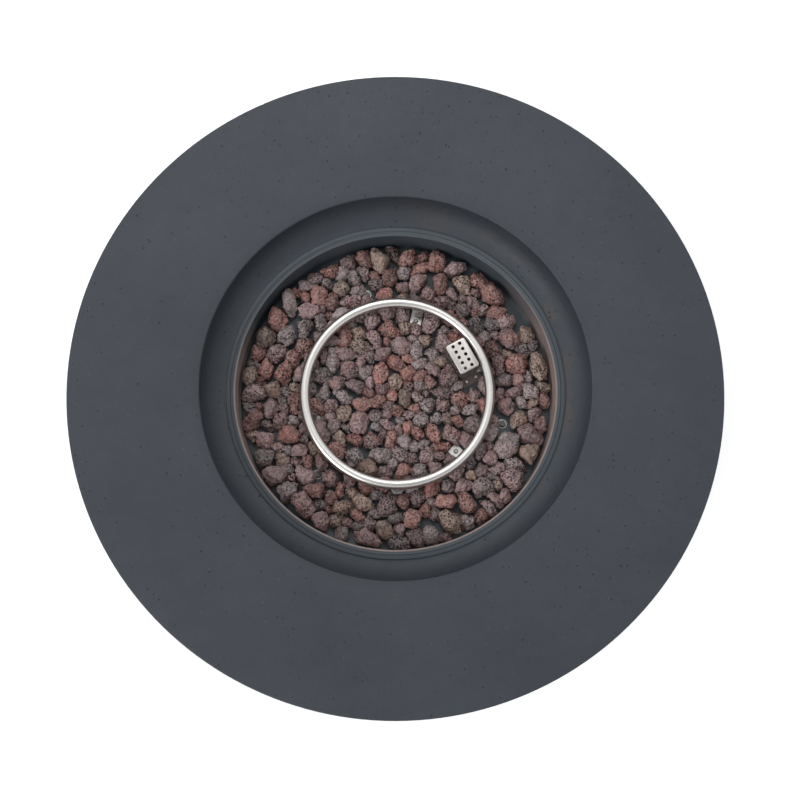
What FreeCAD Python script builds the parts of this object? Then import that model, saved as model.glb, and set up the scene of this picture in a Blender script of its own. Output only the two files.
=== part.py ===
import FreeCAD, Part
import math
import os
import random

# Round gas fire pit table, in millimetres. The origin is on the ground under the middle of the
# bowl, +Z is up, and the control panel faces -Y. Depths are measured down from the table top.

os.makedirs("parts", exist_ok=True)

Vector = FreeCAD.Vector
UP = Vector(0, 0, 1)
INWARD = Vector(0, 1, 0)
OUTWARD = Vector(0, -1, 0)
GROUND = Vector(0, 0, 0)

# Cast bowl
OUTER_RADIUS = 500.0
TOP_Z = 430.0
RIM_BAND = 62.0
EDGE_CHAMFER = 2.0
RIM_UNDERCUT = 8.0
SLAB_THICKNESS = 34.0
SHELL_WALL = 28.0
BOWL_BULGE = 38.0
NECK_RADIUS = 345.0
NECK_Z = 58.0
FOOT_RADIUS = 322.0
FOOT_WIDTH = 42.0
FOOT_Z = 8.0
RIB_COUNT = 8
RIB_THICKNESS = 18.0
RIB_DEPTH = 36.0

# Recess for the burner pan
RECESS_RADIUS = 298.0
COVE_WIDTH = 32.0
LEDGE_DEPTH = 48.0
LEDGE_WIDTH = 12.0
LEDGE_THICKNESS = 26.0
COVE_WALL = 22.0
COVE_BELLY = 0.29

# Arched vent notches in the foot, and the pads that it stands on
NOTCH_WIDTH = 120.0
NOTCH_HEIGHT = 28.0
NOTCH_CHAMFER = 10.0
NOTCH_ANGLES = (0.0, 90.0, 180.0)
PAD_COUNT = 4
PAD_RADIUS = 17.0
PAD_SEAT = 2.0
PAD_GAP = 0.2

# Burner pan
PAN_SHEET = 2.0
PAN_GAP = 3.0
PAN_FLOOR_DEPTH = 105.0
PAN_CORNER = 7.0
FLANGE_GROOVE = 2.5
BEAD_INSET = 6.5
BEAD_WIDTH = 3.0
BEAD_HEIGHT = 1.5
DRAIN_SLOTS = 4
DRAIN_LENGTH = 24.0
DRAIN_WIDTH = 4.0
DRAIN_INSET = 34.0

# Ring burner. Its middle sits a little to the right of the pan's.
BURNER_X = 2.5
RING_RADIUS = 145.7
RING_TUBE = 8.0
RING_HEIGHT = 35.0
FEED_ANGLE = -90.0
FEED_RADIUS = 7.0
FEED_DROP = 33.0
LOCKNUT_FLATS = 22.0
LOCKNUT_HEIGHT = 6.0

# Z brackets under the ring
BRACKET_ANGLES = (-43.5, 76.5, 196.5)
BRACKET_WIDTH = 18.0
BRACKET_SHEET = 1.5
BRACKET_FOOT = 19.0
BRACKET_UPRIGHT_INSET = 7.7
BRACKET_TOP = 15.0
BRACKET_SCREW_INSET = 17.7

# Screws, all with a plain shank
SMALL_SCREW = 2.0
SMALL_HEAD = 3.8
SMALL_HEAD_HEIGHT = 2.4
SMALL_HEAD_TOP = 2.3
SMALL_TAIL = 4.0
LARGE_SCREW = 2.5
LARGE_FLATS = 8.0
LARGE_HEAD_HEIGHT = 3.5
WASHER_RADIUS = 7.5
WASHER_THICKNESS = 1.2
HOLE_CLEARANCE = 0.25
CUT_SPARE = 1.0

# Heat shield, hung under the pan on three long screws
SHIELD_SIDES = 8
SHIELD_FLATS = 384.0
SHIELD_SHEET = 1.2
SHIELD_DROP = 26.0
SHIELD_SCREW_RADIUS = 175.0
SHIELD_SCREW_ANGLES = (-14.5, 105.5, 225.5)
SPACER_RADIUS = 5.0
SHIELD_SCREW_TAIL = 8.0
SHIELD_NUT = 4.0
MIXER_HOLE_RADIUS = 22.0

# Pilot, beside the ring's inner edge
PILOT_ANGLE = 29.0
PILOT_RADIUS = 117.3
HOOD_LENGTH = 52.0
HOOD_WIDTH = 34.0
HOOD_TOP_DEPTH = 59.0
HOOD_SHEET = 1.0
HOOD_HOLE = 2.2
HOOD_ROWS = 5
HOOD_COLUMNS = 2
HOOD_ROW_PITCH = 9.8
HOOD_COLUMN_PITCH = 11.8
HOOD_SLOTS = 3
HOOD_SLOT_HEIGHT = 16.0
HOOD_SLOT_WIDTH = 5.0
HOOD_SLOT_DROP = 10.0
PILOT_PLATE = 1.5
PILOT_PLATE_INNER = 6.0
PILOT_PLATE_END = 14.0
PILOT_PLATE_MARGIN = 1.0
PILOT_OPENING_LENGTH = 40.0
PILOT_OPENING_WIDTH = 20.0
PILOT_PITCH = 13.0
PILOT_JET_RADIUS = 4.0
PILOT_JET_HEIGHT = 26.0
PROBE_RADIUS = 3.0
PROBE_HEIGHT = 30.0
PROBE_TIP = 1.8
ELECTRODE_RADIUS = 3.5
ELECTRODE_HEIGHT = 20.0
ELECTRODE_PIN = 1.2
ELECTRODE_PIN_HEIGHT = 10.0
ELECTRODE_PIN_BEND = 3.0
PILOT_TAIL = 12.0
PILOT_SHOULDER = 1.5
PILOT_SHOULDER_HEIGHT = 3.5
PILOT_TUBE = 2.0
PROBE_LEAD = 1.4
SPARK_LEAD = 1.8

# Air mixer and orifice below the ring's feed
MIXER_LENGTH = 84.0
MIXER_COLLAR_RADIUS = 11.0
MIXER_COLLAR_LENGTH = 20.0
MIXER_THROAT_RADIUS = 8.0
MIXER_BELL_RADIUS = 15.0
MIXER_BELL_LENGTH = 34.0
MIXER_WALL = 2.5
MIXER_SLOPE = 15.0
MIXER_OVERLAP = 14.0
AIR_WINDOW_WIDTH = 10.0
AIR_WINDOW_HEIGHT = 16.0
ORIFICE_RADIUS = 5.5
ORIFICE_FLATS = 17.0
ORIFICE_HEX = 8.0
ORIFICE_REACH = 2.0
ORIFICE_TIP_RADIUS = 2.0
ORIFICE_TIP = 6.0

# Recessed control niche on the front of the bowl
NICHE_Z = 190.0
NICHE_WIDTH = 190.0
NICHE_HEIGHT = 120.0
NICHE_SILL = 4.0
NICHE_WALL = 24.0
NICHE_OPENING_WIDTH = 150.0
NICHE_OPENING_HEIGHT = 84.0
PANEL_WIDTH = 180.0
PANEL_HEIGHT = 110.0
PANEL_SHEET = 1.5
PANEL_SCREW_INSET = 8.0
PANEL_SCREW_LENGTH = 16.0

# Gas valve, stem and knob
VALVE_X = -38.0
VALVE_SIZE = 36.0
VALVE_DEPTH = 50.0
GLAND_THICKNESS = 4.0
SPRING_ROOM = 8.0
COLLAR_RADIUS = 6.5
COLLAR_THICKNESS = 2.0
PLUG_RADIUS = 8.0
PLUG_SMALL_RADIUS = 6.6
PLUG_LENGTH = 24.0
PLUG_CLEARANCE = 0.08
PLUG_PORT = 3.0
PLUG_WEB = 0.6
STEM_RADIUS = 3.0
STEM_FLAT = 0.8
STEM_CLEARANCE = 0.08
STEM_IN_PLUG = 9.0
STEM_IN_KNOB = 16.0
PUSH_TRAVEL = 4.0
PUSH_SPARE = 1.0
SPRING_WIRE = 0.9
SPRING_RADIUS = 4.9
SPRING_TURNS = 4
SPRING_SIDES = 8
PORT_RADIUS = 7.0
PORT_LENGTH = 10.0
INLET_PORT_SETBACK = 40.0
MAGNET_RADIUS = 6.5
MAGNET_LENGTH = 22.0
MAGNET_NUT = 6.0
MAGNET_NUT_FLATS = 15.0
KNOB_RADIUS = 23.0
KNOB_SKIRT = 7.0
KNOB_GRIP_RADIUS = 18.0
KNOB_LENGTH = 26.0
KNOB_FLUTES = 8
KNOB_FLUTE_RADIUS = 4.5
KNOB_EDGE = 1.5
POINTER_WIDTH = 2.0
POINTER_HEIGHT = 1.0
BEZEL_RADIUS = 31.0
BEZEL_THICKNESS = 1.2
STEM_HOLE_RADIUS = 7.0
VALVE_SCREW_PITCH = 24.0
VALVE_SCREW_LENGTH = 8.0
SCREW_SPARE = 1.0

# Push-button igniter
IGNITER_X = 42.0
IGNITER_RADIUS = 11.0
IGNITER_BEZEL_RADIUS = 15.0
IGNITER_BEZEL = 3.0
IGNITER_LENGTH = 62.0
IGNITER_NUT_RADIUS = 15.5
IGNITER_NUT = 5.0
TERMINAL_RADIUS = 3.0
TERMINAL_LENGTH = 6.0
BUTTON_RADIUS = 8.5
BUTTON_PROUD = 6.0
BUTTON_TRAVEL = 4.5
BUTTON_SLEEVE = 14.0
BUTTON_WALL = 2.0
BUTTON_EDGE = 1.0
BUTTON_SPRING_RADIUS = 5.0
BUTTON_SPRING_TURNS = 4
BUTTON_GAP = 0.35
BATTERY_RADIUS = 5.25
BATTERY_LENGTH = 32.0
BATTERY_WEB = 2.0

# Gas inlet through the back of the bowl
INLET_Z = 110.0
INLET_RADIUS = 7.94
INLET_HOLE_RADIUS = 9.5
INLET_TAIL = 16.0
INLET_FLATS = 26.0
INLET_HEX = 7.0
SPOT_FACE_RADIUS = 21.0
SPOT_WALL = 20.0
SPOT_SINK = 2.0
BOSS_RIM = 6.0

# Pipes and their nuts
PIPE_RADIUS = 5.0
PIPE_BEND = 26.0
SUPPLY_DROP = 31.0
BURNER_DROP = 57.0
OUTLET_RUN = 42.0
SPARK_RUN = 40.0
STRAIGHT = 0.001
PIPE_NUT_FLATS = 19.0
PIPE_NUT_LENGTH = 14.0
LEAD_BEND = 18.0
LEAD_DROPS = (44.0, 32.0, 20.0)

# Lava rock bed
ROCK_PITCH = 23.6
ROCK_SMALL = 7.5
ROCK_LARGE = 17.0
ROCK_GAP = 0.6
ROCK_STRETCH = 1.35
ROCK_FLATNESS = (0.85, 1.3)
ROCK_HIGHEST = 36.0
ROCK_ROUNDS = 60
ROCK_SEED = 27
ROCK_SIDES = 7
CROWN_SIDES = 4
FOOT_SIDES = 3
BELT_SPREAD = (0.9, 1.0)
CROWN_SPREAD = (0.45, 0.68)
FOOT_SPREAD = (0.55, 0.75)
BELT_LEVELS = (0.38, 0.6)
CROWN_LEVELS = (0.82, 0.96)
CORNER_JITTER = 9.0
ROCK_SIZE_LEAN = 1.5
ROCK_SWAY = 0.2
ROCK_BESIDE = 0.6
ROCK_APART = 0.62
ROCK_COLOURS = ("grey", "purple", "rust", "tan")
ROCK_SHARES = (0.34, 0.36, 0.22, 0.08)

# Large stones with places of their own: share of the pan's radius, angle, radius and colour
LANDMARK_ROCKS = (
    (0.774, -24.8, 19.0, "grey"),
    (0.796, -10.2, 14.0, "tan"),
    (0.89, 96.4, 15.0, "tan"),
    (0.788, 177.1, 15.0, "tan"),
)

# Sizes that follow from the ones above
ledge_radius = RECESS_RADIUS - COVE_WIDTH
pan_outer = ledge_radius - LEDGE_WIDTH - PAN_GAP
pan_radius = pan_outer - PAN_SHEET
ledge_z = TOP_Z - LEDGE_DEPTH
floor_z = TOP_Z - PAN_FLOOR_DEPTH
floor_under_z = floor_z - PAN_SHEET
ring_z = floor_z + RING_HEIGHT
ring_bottom_z = ring_z - RING_TUBE
rock_ceiling_z = ring_bottom_z - BRACKET_SHEET - CUT_SPARE
shield_z = floor_under_z - SHIELD_DROP
shield_under_z = shield_z - SHIELD_SHEET
burner_centre = Vector(BURNER_X, 0, 0)
feed_base = burner_centre + RING_RADIUS * Vector(
    math.cos(math.radians(FEED_ANGLE)), math.sin(math.radians(FEED_ANGLE)), 0
)
feed_end_z = floor_z - FEED_DROP
mixer_top_z = feed_end_z + MIXER_OVERLAP
mixer_bottom_z = mixer_top_z - MIXER_LENGTH
hood_top_z = TOP_Z - HOOD_TOP_DEPTH
spring_depth = GLAND_THICKNESS + COLLAR_THICKNESS
plug_depth = spring_depth + SPRING_ROOM


def box(low, high):
    """A block between two opposite corners."""
    size = high - low
    return Part.makeBox(size.x, size.y, size.z, low)


def tube(outer, inner, length, base, axis):
    """A round sleeve."""
    return Part.makeCylinder(outer, length, base, axis).cut(
        Part.makeCylinder(inner, length, base, axis)
    )


def hexagon(flats, length, base, axis):
    """A six-sided prism along an axis."""
    corner = flats / math.sqrt(3)
    turn = FreeCAD.Rotation(UP, axis)
    points = []
    for k in range(7):
        angle = math.radians(60 * k)
        points.append(base + turn.multVec(corner * Vector(math.cos(angle), math.sin(angle), 0)))
    return Part.Face(Part.makePolygon(points)).extrude(length * axis)


def fused(shapes):
    """One solid from shapes that meet."""
    return shapes[0].fuse(shapes[1:]).removeSplitter()


def polar(radius, degrees, z, centre=GROUND):
    """The point at a radius and angle about an upright line through centre."""
    angle = math.radians(degrees)
    return Vector(centre.x + radius * math.cos(angle), centre.y + radius * math.sin(angle), z)


def profile_point(radius, z):
    """A point of a profile that turns about the bowl's axis."""
    return Vector(radius, 0, z)


def revolved(edges):
    """The solid that a closed profile makes when it turns about the bowl's axis."""
    return Part.Face(Part.Wire(edges)).revolve(GROUND, UP, 360)


def lines(points):
    """Straight profile edges through points of radius and height."""
    ends = [profile_point(*p) for p in points]
    return [Part.makeLine(a, b) for a, b in zip(ends, ends[1:])]


def screw(head, shank_radius, length, seat, direction):
    """A screw whose head stands on seat, with a shank that goes along direction."""
    return fused([head, Part.makeCylinder(shank_radius, length, seat, direction)])


def round_screw(length, seat, direction):
    """A small screw with a low domed head."""
    dome = Part.makeCone(SMALL_HEAD, SMALL_HEAD_TOP, SMALL_HEAD_HEIGHT, seat, -1 * direction)
    return screw(dome, SMALL_SCREW, length, seat, direction)


def hex_screw(length, seat, direction):
    """A larger screw with a six-sided head."""
    head = hexagon(LARGE_FLATS, LARGE_HEAD_HEIGHT, seat, -1 * direction)
    return screw(head, LARGE_SCREW, length, seat, direction)


def routed_tube(points, radius, bend):
    """A round tube through points, with its straight runs joined by tangent arcs."""
    pieces = []
    start = points[0]
    for before, corner, after in zip(points, points[1:], points[2:]):
        into = (corner - before).normalize()
        away = (after - corner).normalize()
        turn = into.getAngle(away)
        if turn < STRAIGHT:
            continue
        cut_back = bend * math.tan(turn / 2)
        arc_start = corner - cut_back * into
        arc_axis = into.cross(away).normalize()
        centre = arc_start + bend * arc_axis.cross(into)
        pieces.append(Part.makeCylinder(radius, (arc_start - start).Length, start, into))
        section = Part.Face(Part.Wire(Part.makeCircle(radius, arc_start, into)))
        pieces.append(section.revolve(centre, arc_axis, math.degrees(turn)))
        start = corner + cut_back * away
    last = points[-1] - start
    pieces.append(Part.makeCylinder(radius, last.Length, start, last.normalize()))
    return fused(pieces)


def bowl_arc():
    """Centre and radius of the arc of the bowl's side, from its chord and its bulge."""
    top = profile_point(OUTER_RADIUS - RIM_UNDERCUT, TOP_Z - RIM_BAND - RIM_UNDERCUT)
    foot = profile_point(NECK_RADIUS, NECK_Z)
    chord = top - foot
    outward = Vector(chord.z, 0, -chord.x).normalize()
    radius = chord.Length ** 2 / (8 * BOWL_BULGE) + BOWL_BULGE / 2
    middle = foot + 0.5 * chord
    return middle + (BOWL_BULGE - radius) * outward, radius, top, foot


def bowl_radius(z, inset=0.0):
    """The radius of the bowl's side at a height, or of a wall inset from it."""
    centre, radius, _, _ = bowl_arc()
    return centre.x + math.sqrt((radius - inset) ** 2 - (z - centre.z) ** 2)


def outer_edges():
    """The profile edges from the table top's outer edge down to the foot."""
    centre, radius, top, foot = bowl_arc()
    middle_z = (top.z + foot.z) / 2
    side = Part.Arc(top, profile_point(bowl_radius(middle_z), middle_z), foot).toShape()
    rim = lines(
        [
            (OUTER_RADIUS - EDGE_CHAMFER, TOP_Z),
            (OUTER_RADIUS, TOP_Z - EDGE_CHAMFER),
            (OUTER_RADIUS, TOP_Z - RIM_BAND),
            (top.x, top.z),
        ]
    )
    neck = lines([(foot.x, foot.z), (FOOT_RADIUS, NECK_Z), (FOOT_RADIUS, FOOT_Z)])
    return rim + [side] + neck


def filled_bowl():
    """The bowl's outer form with nothing hollowed out of it."""
    closing = lines([(FOOT_RADIUS, FOOT_Z), (0, FOOT_Z), (0, TOP_Z)])
    closing += lines([(0, TOP_Z), (OUTER_RADIUS - EDGE_CHAMFER, TOP_Z)])
    return revolved(outer_edges() + closing)


def bowl_shell():
    """The turned shell: table ring, cove, pan ledge, curved side and foot."""
    foot_inner = FOOT_RADIUS - FOOT_WIDTH
    ledge_inner = ledge_radius - LEDGE_WIDTH
    slab_under = TOP_Z - SLAB_THICKNESS
    ledge_under = ledge_z - LEDGE_THICKNESS
    wall_low = NECK_Z + SHELL_WALL
    wall_middle = (wall_low + slab_under) / 2
    cove_back = RECESS_RADIUS + COVE_WALL
    inside = lines(
        [
            (FOOT_RADIUS, FOOT_Z),
            (foot_inner, FOOT_Z),
            (foot_inner, NECK_Z),
            (bowl_radius(wall_low, SHELL_WALL), wall_low),
            (bowl_radius(wall_middle, SHELL_WALL), wall_middle),
            (bowl_radius(slab_under, SHELL_WALL), slab_under),
            (cove_back, slab_under),
            (ledge_radius + COVE_WALL, ledge_under),
            (ledge_inner, ledge_under),
            (ledge_inner, ledge_z),
            (ledge_radius, ledge_z),
        ]
    )
    recess_edge = TOP_Z - EDGE_CHAMFER
    cove_middle = profile_point(
        RECESS_RADIUS - COVE_BELLY * (RECESS_RADIUS - ledge_radius),
        ledge_z + COVE_BELLY * (recess_edge - ledge_z),
    )
    cove = Part.Arc(
        profile_point(ledge_radius, ledge_z),
        cove_middle,
        profile_point(RECESS_RADIUS, recess_edge),
    ).toShape()
    top = lines(
        [
            (RECESS_RADIUS, recess_edge),
            (RECESS_RADIUS + EDGE_CHAMFER, TOP_Z),
            (OUTER_RADIUS - EDGE_CHAMFER, TOP_Z),
        ]
    )
    return revolved(outer_edges() + inside + [cove] + top)


def ribs():
    """Radial ribs cast under the table ring, between the cove and the bowl's side."""
    start = RECESS_RADIUS + COVE_WALL / 2
    length = OUTER_RADIUS - SHELL_WALL / 2 - start
    bottom = TOP_Z - SLAB_THICKNESS - RIB_DEPTH
    height = RIB_DEPTH + SLAB_THICKNESS / 2
    base = Vector(start, -RIB_THICKNESS / 2, bottom)
    blades = []
    for k in range(RIB_COUNT):
        blade = Part.makeBox(length, RIB_THICKNESS, height, base)
        blade.rotate(GROUND, UP, 360 * (k + 0.5) / RIB_COUNT)
        blades.append(blade)
    return blades


def niche_face_y():
    """Where the flat back of the control niche stands, just inside the bowl at its lower corners."""
    corner_z = NICHE_Z - NICHE_HEIGHT / 2
    reach = bowl_radius(corner_z) ** 2 - (NICHE_WIDTH / 2) ** 2
    return NICHE_SILL - math.sqrt(reach)


panel_y = niche_face_y()


def panel_point(x, depth, z=NICHE_Z):
    """A point behind the control panel's seat by depth, or before it where depth is negative."""
    return Vector(x, panel_y + depth, z)


def framed(half_width, half_height, front_y, back_y):
    """A block around the niche's middle line."""
    return box(
        Vector(-half_width, front_y, NICHE_Z - half_height),
        Vector(half_width, back_y, NICHE_Z + half_height),
    )


def inlet_faces():
    """The y of the inner and outer spot faces round the gas inlet hole."""
    inner = bowl_radius(INLET_Z - SPOT_FACE_RADIUS, SHELL_WALL) - SPOT_SINK
    return inner, inner + SPOT_WALL


def vent_notch(angle):
    """An arched notch that goes right through the foot ring."""
    half = NOTCH_WIDTH / 2
    top = FOOT_Z + NOTCH_HEIGHT
    low = FOOT_Z - NOTCH_CHAMFER
    outline = [
        (-half, low),
        (-half, top - NOTCH_CHAMFER),
        (NOTCH_CHAMFER - half, top),
        (half - NOTCH_CHAMFER, top),
        (half, top - NOTCH_CHAMFER),
        (half, low),
        (-half, low),
    ]
    start = FOOT_RADIUS / 2
    points = [Vector(start, y, z) for y, z in outline]
    notch = Part.Face(Part.makePolygon(points)).extrude(Vector(OUTER_RADIUS - start, 0, 0))
    notch.rotate(GROUND, UP, angle)
    return notch


def pad_spots():
    """Middles of the pads, halfway across the foot ring and between the notches."""
    radius = FOOT_RADIUS - FOOT_WIDTH / 2
    return [polar(radius, 360 * (k + 0.5) / PAD_COUNT, 0) for k in range(PAD_COUNT)]


def panel_screw_spots():
    """Middles of the screws in the corners of the control panel."""
    across = PANEL_WIDTH / 2 - PANEL_SCREW_INSET
    rise = PANEL_HEIGHT / 2 - PANEL_SCREW_INSET
    return [(sx * across, NICHE_Z + sz * rise) for sx in (-1, 1) for sz in (-1, 1)]


def concrete_bowl():
    """The cast bowl with its ribs, control niche, inlet hole, vent notches and pad seats."""
    form = filled_bowl()
    half_width = NICHE_WIDTH / 2
    half_height = NICHE_HEIGHT / 2
    back_y = panel_y + NICHE_WALL
    housing = framed(half_width + NICHE_WALL, half_height + NICHE_WALL, -OUTER_RADIUS, back_y)
    inner_face, outer_face = inlet_faces()
    boss = Part.makeCylinder(
        SPOT_FACE_RADIUS + BOSS_RIM, OUTER_RADIUS, Vector(0, inner_face, INLET_Z), INWARD
    )
    added = [blade.common(form) for blade in ribs()]
    added += [housing.common(form), boss.common(form)]
    cast = fused([bowl_shell()] + added)
    opening = framed(
        NICHE_OPENING_WIDTH / 2, NICHE_OPENING_HEIGHT / 2, panel_y - CUT_SPARE, back_y + CUT_SPARE
    )
    cuts = [framed(half_width, half_height, -OUTER_RADIUS, panel_y), opening]
    cuts += [
        Part.makeCylinder(INLET_HOLE_RADIUS, OUTER_RADIUS, Vector(0, 0, INLET_Z), INWARD),
        Part.makeCylinder(SPOT_FACE_RADIUS, OUTER_RADIUS, Vector(0, outer_face, INLET_Z), INWARD),
    ]
    cuts += [vent_notch(angle) for angle in NOTCH_ANGLES]
    for spot in pad_spots():
        cuts.append(Part.makeCylinder(PAD_RADIUS + PAD_GAP, FOOT_Z + PAD_SEAT, spot, UP))
    for x, z in panel_screw_spots():
        radius = SMALL_SCREW + HOLE_CLEARANCE
        seat = Vector(x, panel_y, z)
        cuts.append(Part.makeCylinder(radius, PANEL_SCREW_LENGTH, seat, INWARD))
    return cast.cut(cuts).removeSplitter()


def foot_pads():
    """Rubber pads pressed into seats under the foot."""
    height = FOOT_Z + PAD_SEAT
    return [Part.makeCylinder(PAD_RADIUS, height, spot, UP) for spot in pad_spots()]


def pilot_frame(u, v, z):
    """A point by the pilot: u away from the ring's middle, v along the ring, z above the ground."""
    middle = polar(PILOT_RADIUS, PILOT_ANGLE, z, burner_centre)
    along = PILOT_ANGLE + 90
    return polar(v, along, z, polar(u, PILOT_ANGLE, z, middle))


def pilot_block(u_low, u_high, v_low, v_high, z_low, z_high):
    """A block in the pilot's own directions."""
    block = box(Vector(u_low, v_low, z_low), Vector(u_high, v_high, z_high))
    block.rotate(GROUND, UP, PILOT_ANGLE)
    block.translate(pilot_frame(0, 0, 0))
    return block


def pilot_screw_spots():
    """Middles of the two screws that hold the pilot plate, beyond the hood's ends."""
    end = -HOOD_LENGTH / 2 - PILOT_PLATE_END / 2
    return [(-HOOD_WIDTH / 4, end), (HOOD_WIDTH / 4, end)]


def ring_bracket_spot(angle, z):
    """Middle of a bracket's screw."""
    return polar(RING_RADIUS - BRACKET_SCREW_INSET, angle, z, burner_centre)


def burner_pan():
    """The dished steel pan with its flange, raised bead, drain slots and holes."""
    flange = ledge_radius - FLANGE_GROOVE
    flange_top = ledge_z + PAN_SHEET
    bead_in = pan_radius + BEAD_INSET - BEAD_WIDTH / 2
    bead_out = bead_in + BEAD_WIDTH
    bead_flat = BEAD_WIDTH / 4
    bead_top = flange_top + BEAD_HEIGHT
    profile = lines(
        [
            (0, floor_z),
            (pan_radius - PAN_CORNER, floor_z),
            (pan_radius, floor_z + PAN_CORNER),
            (pan_radius, flange_top),
            (bead_in, flange_top),
            (bead_in + bead_flat, bead_top),
            (bead_out - bead_flat, bead_top),
            (bead_out, flange_top),
            (flange, flange_top),
            (flange, ledge_z),
            (pan_outer, ledge_z),
            (pan_outer, floor_z + PAN_CORNER),
            (pan_outer - PAN_CORNER, floor_under_z),
            (0, floor_under_z),
            (0, floor_z),
        ]
    )
    pan = revolved(profile)
    deep = floor_under_z - CUT_SPARE
    height = PAN_SHEET + 2 * CUT_SPARE
    cuts = [
        Part.makeCylinder(
            FEED_RADIUS + HOLE_CLEARANCE, height, Vector(feed_base.x, feed_base.y, deep), UP
        ),
        pilot_block(
            -PILOT_OPENING_WIDTH / 2,
            PILOT_OPENING_WIDTH / 2,
            -PILOT_OPENING_LENGTH / 2,
            PILOT_OPENING_LENGTH / 2,
            deep,
            deep + height,
        ),
    ]
    for angle in SHIELD_SCREW_ANGLES:
        spot = polar(SHIELD_SCREW_RADIUS, angle, deep)
        cuts.append(Part.makeCylinder(LARGE_SCREW + HOLE_CLEARANCE, height, spot, UP))
    for angle in BRACKET_ANGLES:
        spot = ring_bracket_spot(angle, deep)
        cuts.append(Part.makeCylinder(SMALL_SCREW + HOLE_CLEARANCE, height, spot, UP))
    for u, v in pilot_screw_spots():
        spot = pilot_frame(u, v, deep)
        cuts.append(Part.makeCylinder(SMALL_SCREW + HOLE_CLEARANCE, height, spot, UP))
    for k in range(DRAIN_SLOTS):
        low = Vector(pan_radius - DRAIN_INSET, -DRAIN_LENGTH / 2, deep)
        slot = box(low, low + Vector(DRAIN_WIDTH, DRAIN_LENGTH, height))
        slot.rotate(GROUND, UP, 360 * (k + 0.5) / DRAIN_SLOTS)
        cuts.append(slot)
    return pan.cut(cuts)


def ring_burner():
    """The round stainless tube with the threaded feed welded under it."""
    ring = Part.makeTorus(RING_RADIUS, RING_TUBE, Vector(BURNER_X, 0, ring_z), UP)
    feed = Part.makeCylinder(
        FEED_RADIUS, ring_z - feed_end_z, Vector(feed_base.x, feed_base.y, feed_end_z), UP
    )
    return fused([ring, feed])


def feed_locknuts():
    """Nuts that clamp the feed above and below the pan floor."""
    nuts = []
    for z in (floor_z, floor_under_z - LOCKNUT_HEIGHT):
        base = Vector(feed_base.x, feed_base.y, z)
        nut = hexagon(LOCKNUT_FLATS, LOCKNUT_HEIGHT, base, UP)
        hole = Part.makeCylinder(FEED_RADIUS + STEM_CLEARANCE, LOCKNUT_HEIGHT, base, UP)
        nuts.append(nut.cut(hole))
    return nuts


def ring_brackets():
    """Folded Z brackets: a foot on the pan floor, an upright and a saddle under the ring."""
    upright = RING_RADIUS - BRACKET_UPRIGHT_INSET
    foot_end = upright - BRACKET_FOOT
    half = BRACKET_WIDTH / 2
    top_low = ring_bottom_z - BRACKET_SHEET
    plates = [
        (foot_end, upright + BRACKET_SHEET, floor_z, floor_z + BRACKET_SHEET),
        (upright, upright + BRACKET_SHEET, floor_z, ring_bottom_z),
        (upright, upright + BRACKET_TOP, top_low, ring_bottom_z),
    ]
    brackets = []
    for angle in BRACKET_ANGLES:
        folds = [box(Vector(a, -half, c), Vector(b, half, d)) for a, b, c, d in plates]
        bracket = fused(folds)
        bracket.rotate(GROUND, UP, angle)
        bracket.translate(burner_centre)
        hole = Part.makeCylinder(
            SMALL_SCREW + HOLE_CLEARANCE, BRACKET_SHEET, ring_bracket_spot(angle, floor_z), UP
        )
        brackets.append(bracket.cut(hole))
    return brackets


def ring_bracket_screws():
    """Screws that hold the brackets' feet to the pan floor."""
    length = BRACKET_SHEET + PAN_SHEET + SMALL_TAIL
    seat_z = floor_z + BRACKET_SHEET
    down = -1 * UP
    return [round_screw(length, ring_bracket_spot(a, seat_z), down) for a in BRACKET_ANGLES]


def shield_screws():
    """Long screws through the pan floor that carry the heat shield."""
    seat_z = floor_z + WASHER_THICKNESS
    length = seat_z - shield_under_z + SHIELD_SCREW_TAIL
    spots = [polar(SHIELD_SCREW_RADIUS, a, seat_z) for a in SHIELD_SCREW_ANGLES]
    return [hex_screw(length, spot, -1 * UP) for spot in spots]


def shield_washers():
    """Flat washers between the screws' heads and the pan floor."""
    hole = LARGE_SCREW + HOLE_CLEARANCE
    spots = [polar(SHIELD_SCREW_RADIUS, a, floor_z) for a in SHIELD_SCREW_ANGLES]
    return [tube(WASHER_RADIUS, hole, WASHER_THICKNESS, spot, UP) for spot in spots]


def shield_spacers():
    """Sleeves that keep the heat shield off the pan."""
    hole = LARGE_SCREW + HOLE_CLEARANCE
    spots = [polar(SHIELD_SCREW_RADIUS, a, shield_z) for a in SHIELD_SCREW_ANGLES]
    return [tube(SPACER_RADIUS, hole, SHIELD_DROP, spot, UP) for spot in spots]


def shield_nuts():
    """Nuts under the heat shield."""
    nuts = []
    for angle in SHIELD_SCREW_ANGLES:
        base = polar(SHIELD_SCREW_RADIUS, angle, shield_under_z - SHIELD_NUT)
        hole = Part.makeCylinder(LARGE_SCREW + STEM_CLEARANCE, SHIELD_NUT, base, UP)
        nuts.append(hexagon(LARGE_FLATS, SHIELD_NUT, base, UP).cut(hole))
    return nuts


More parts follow.
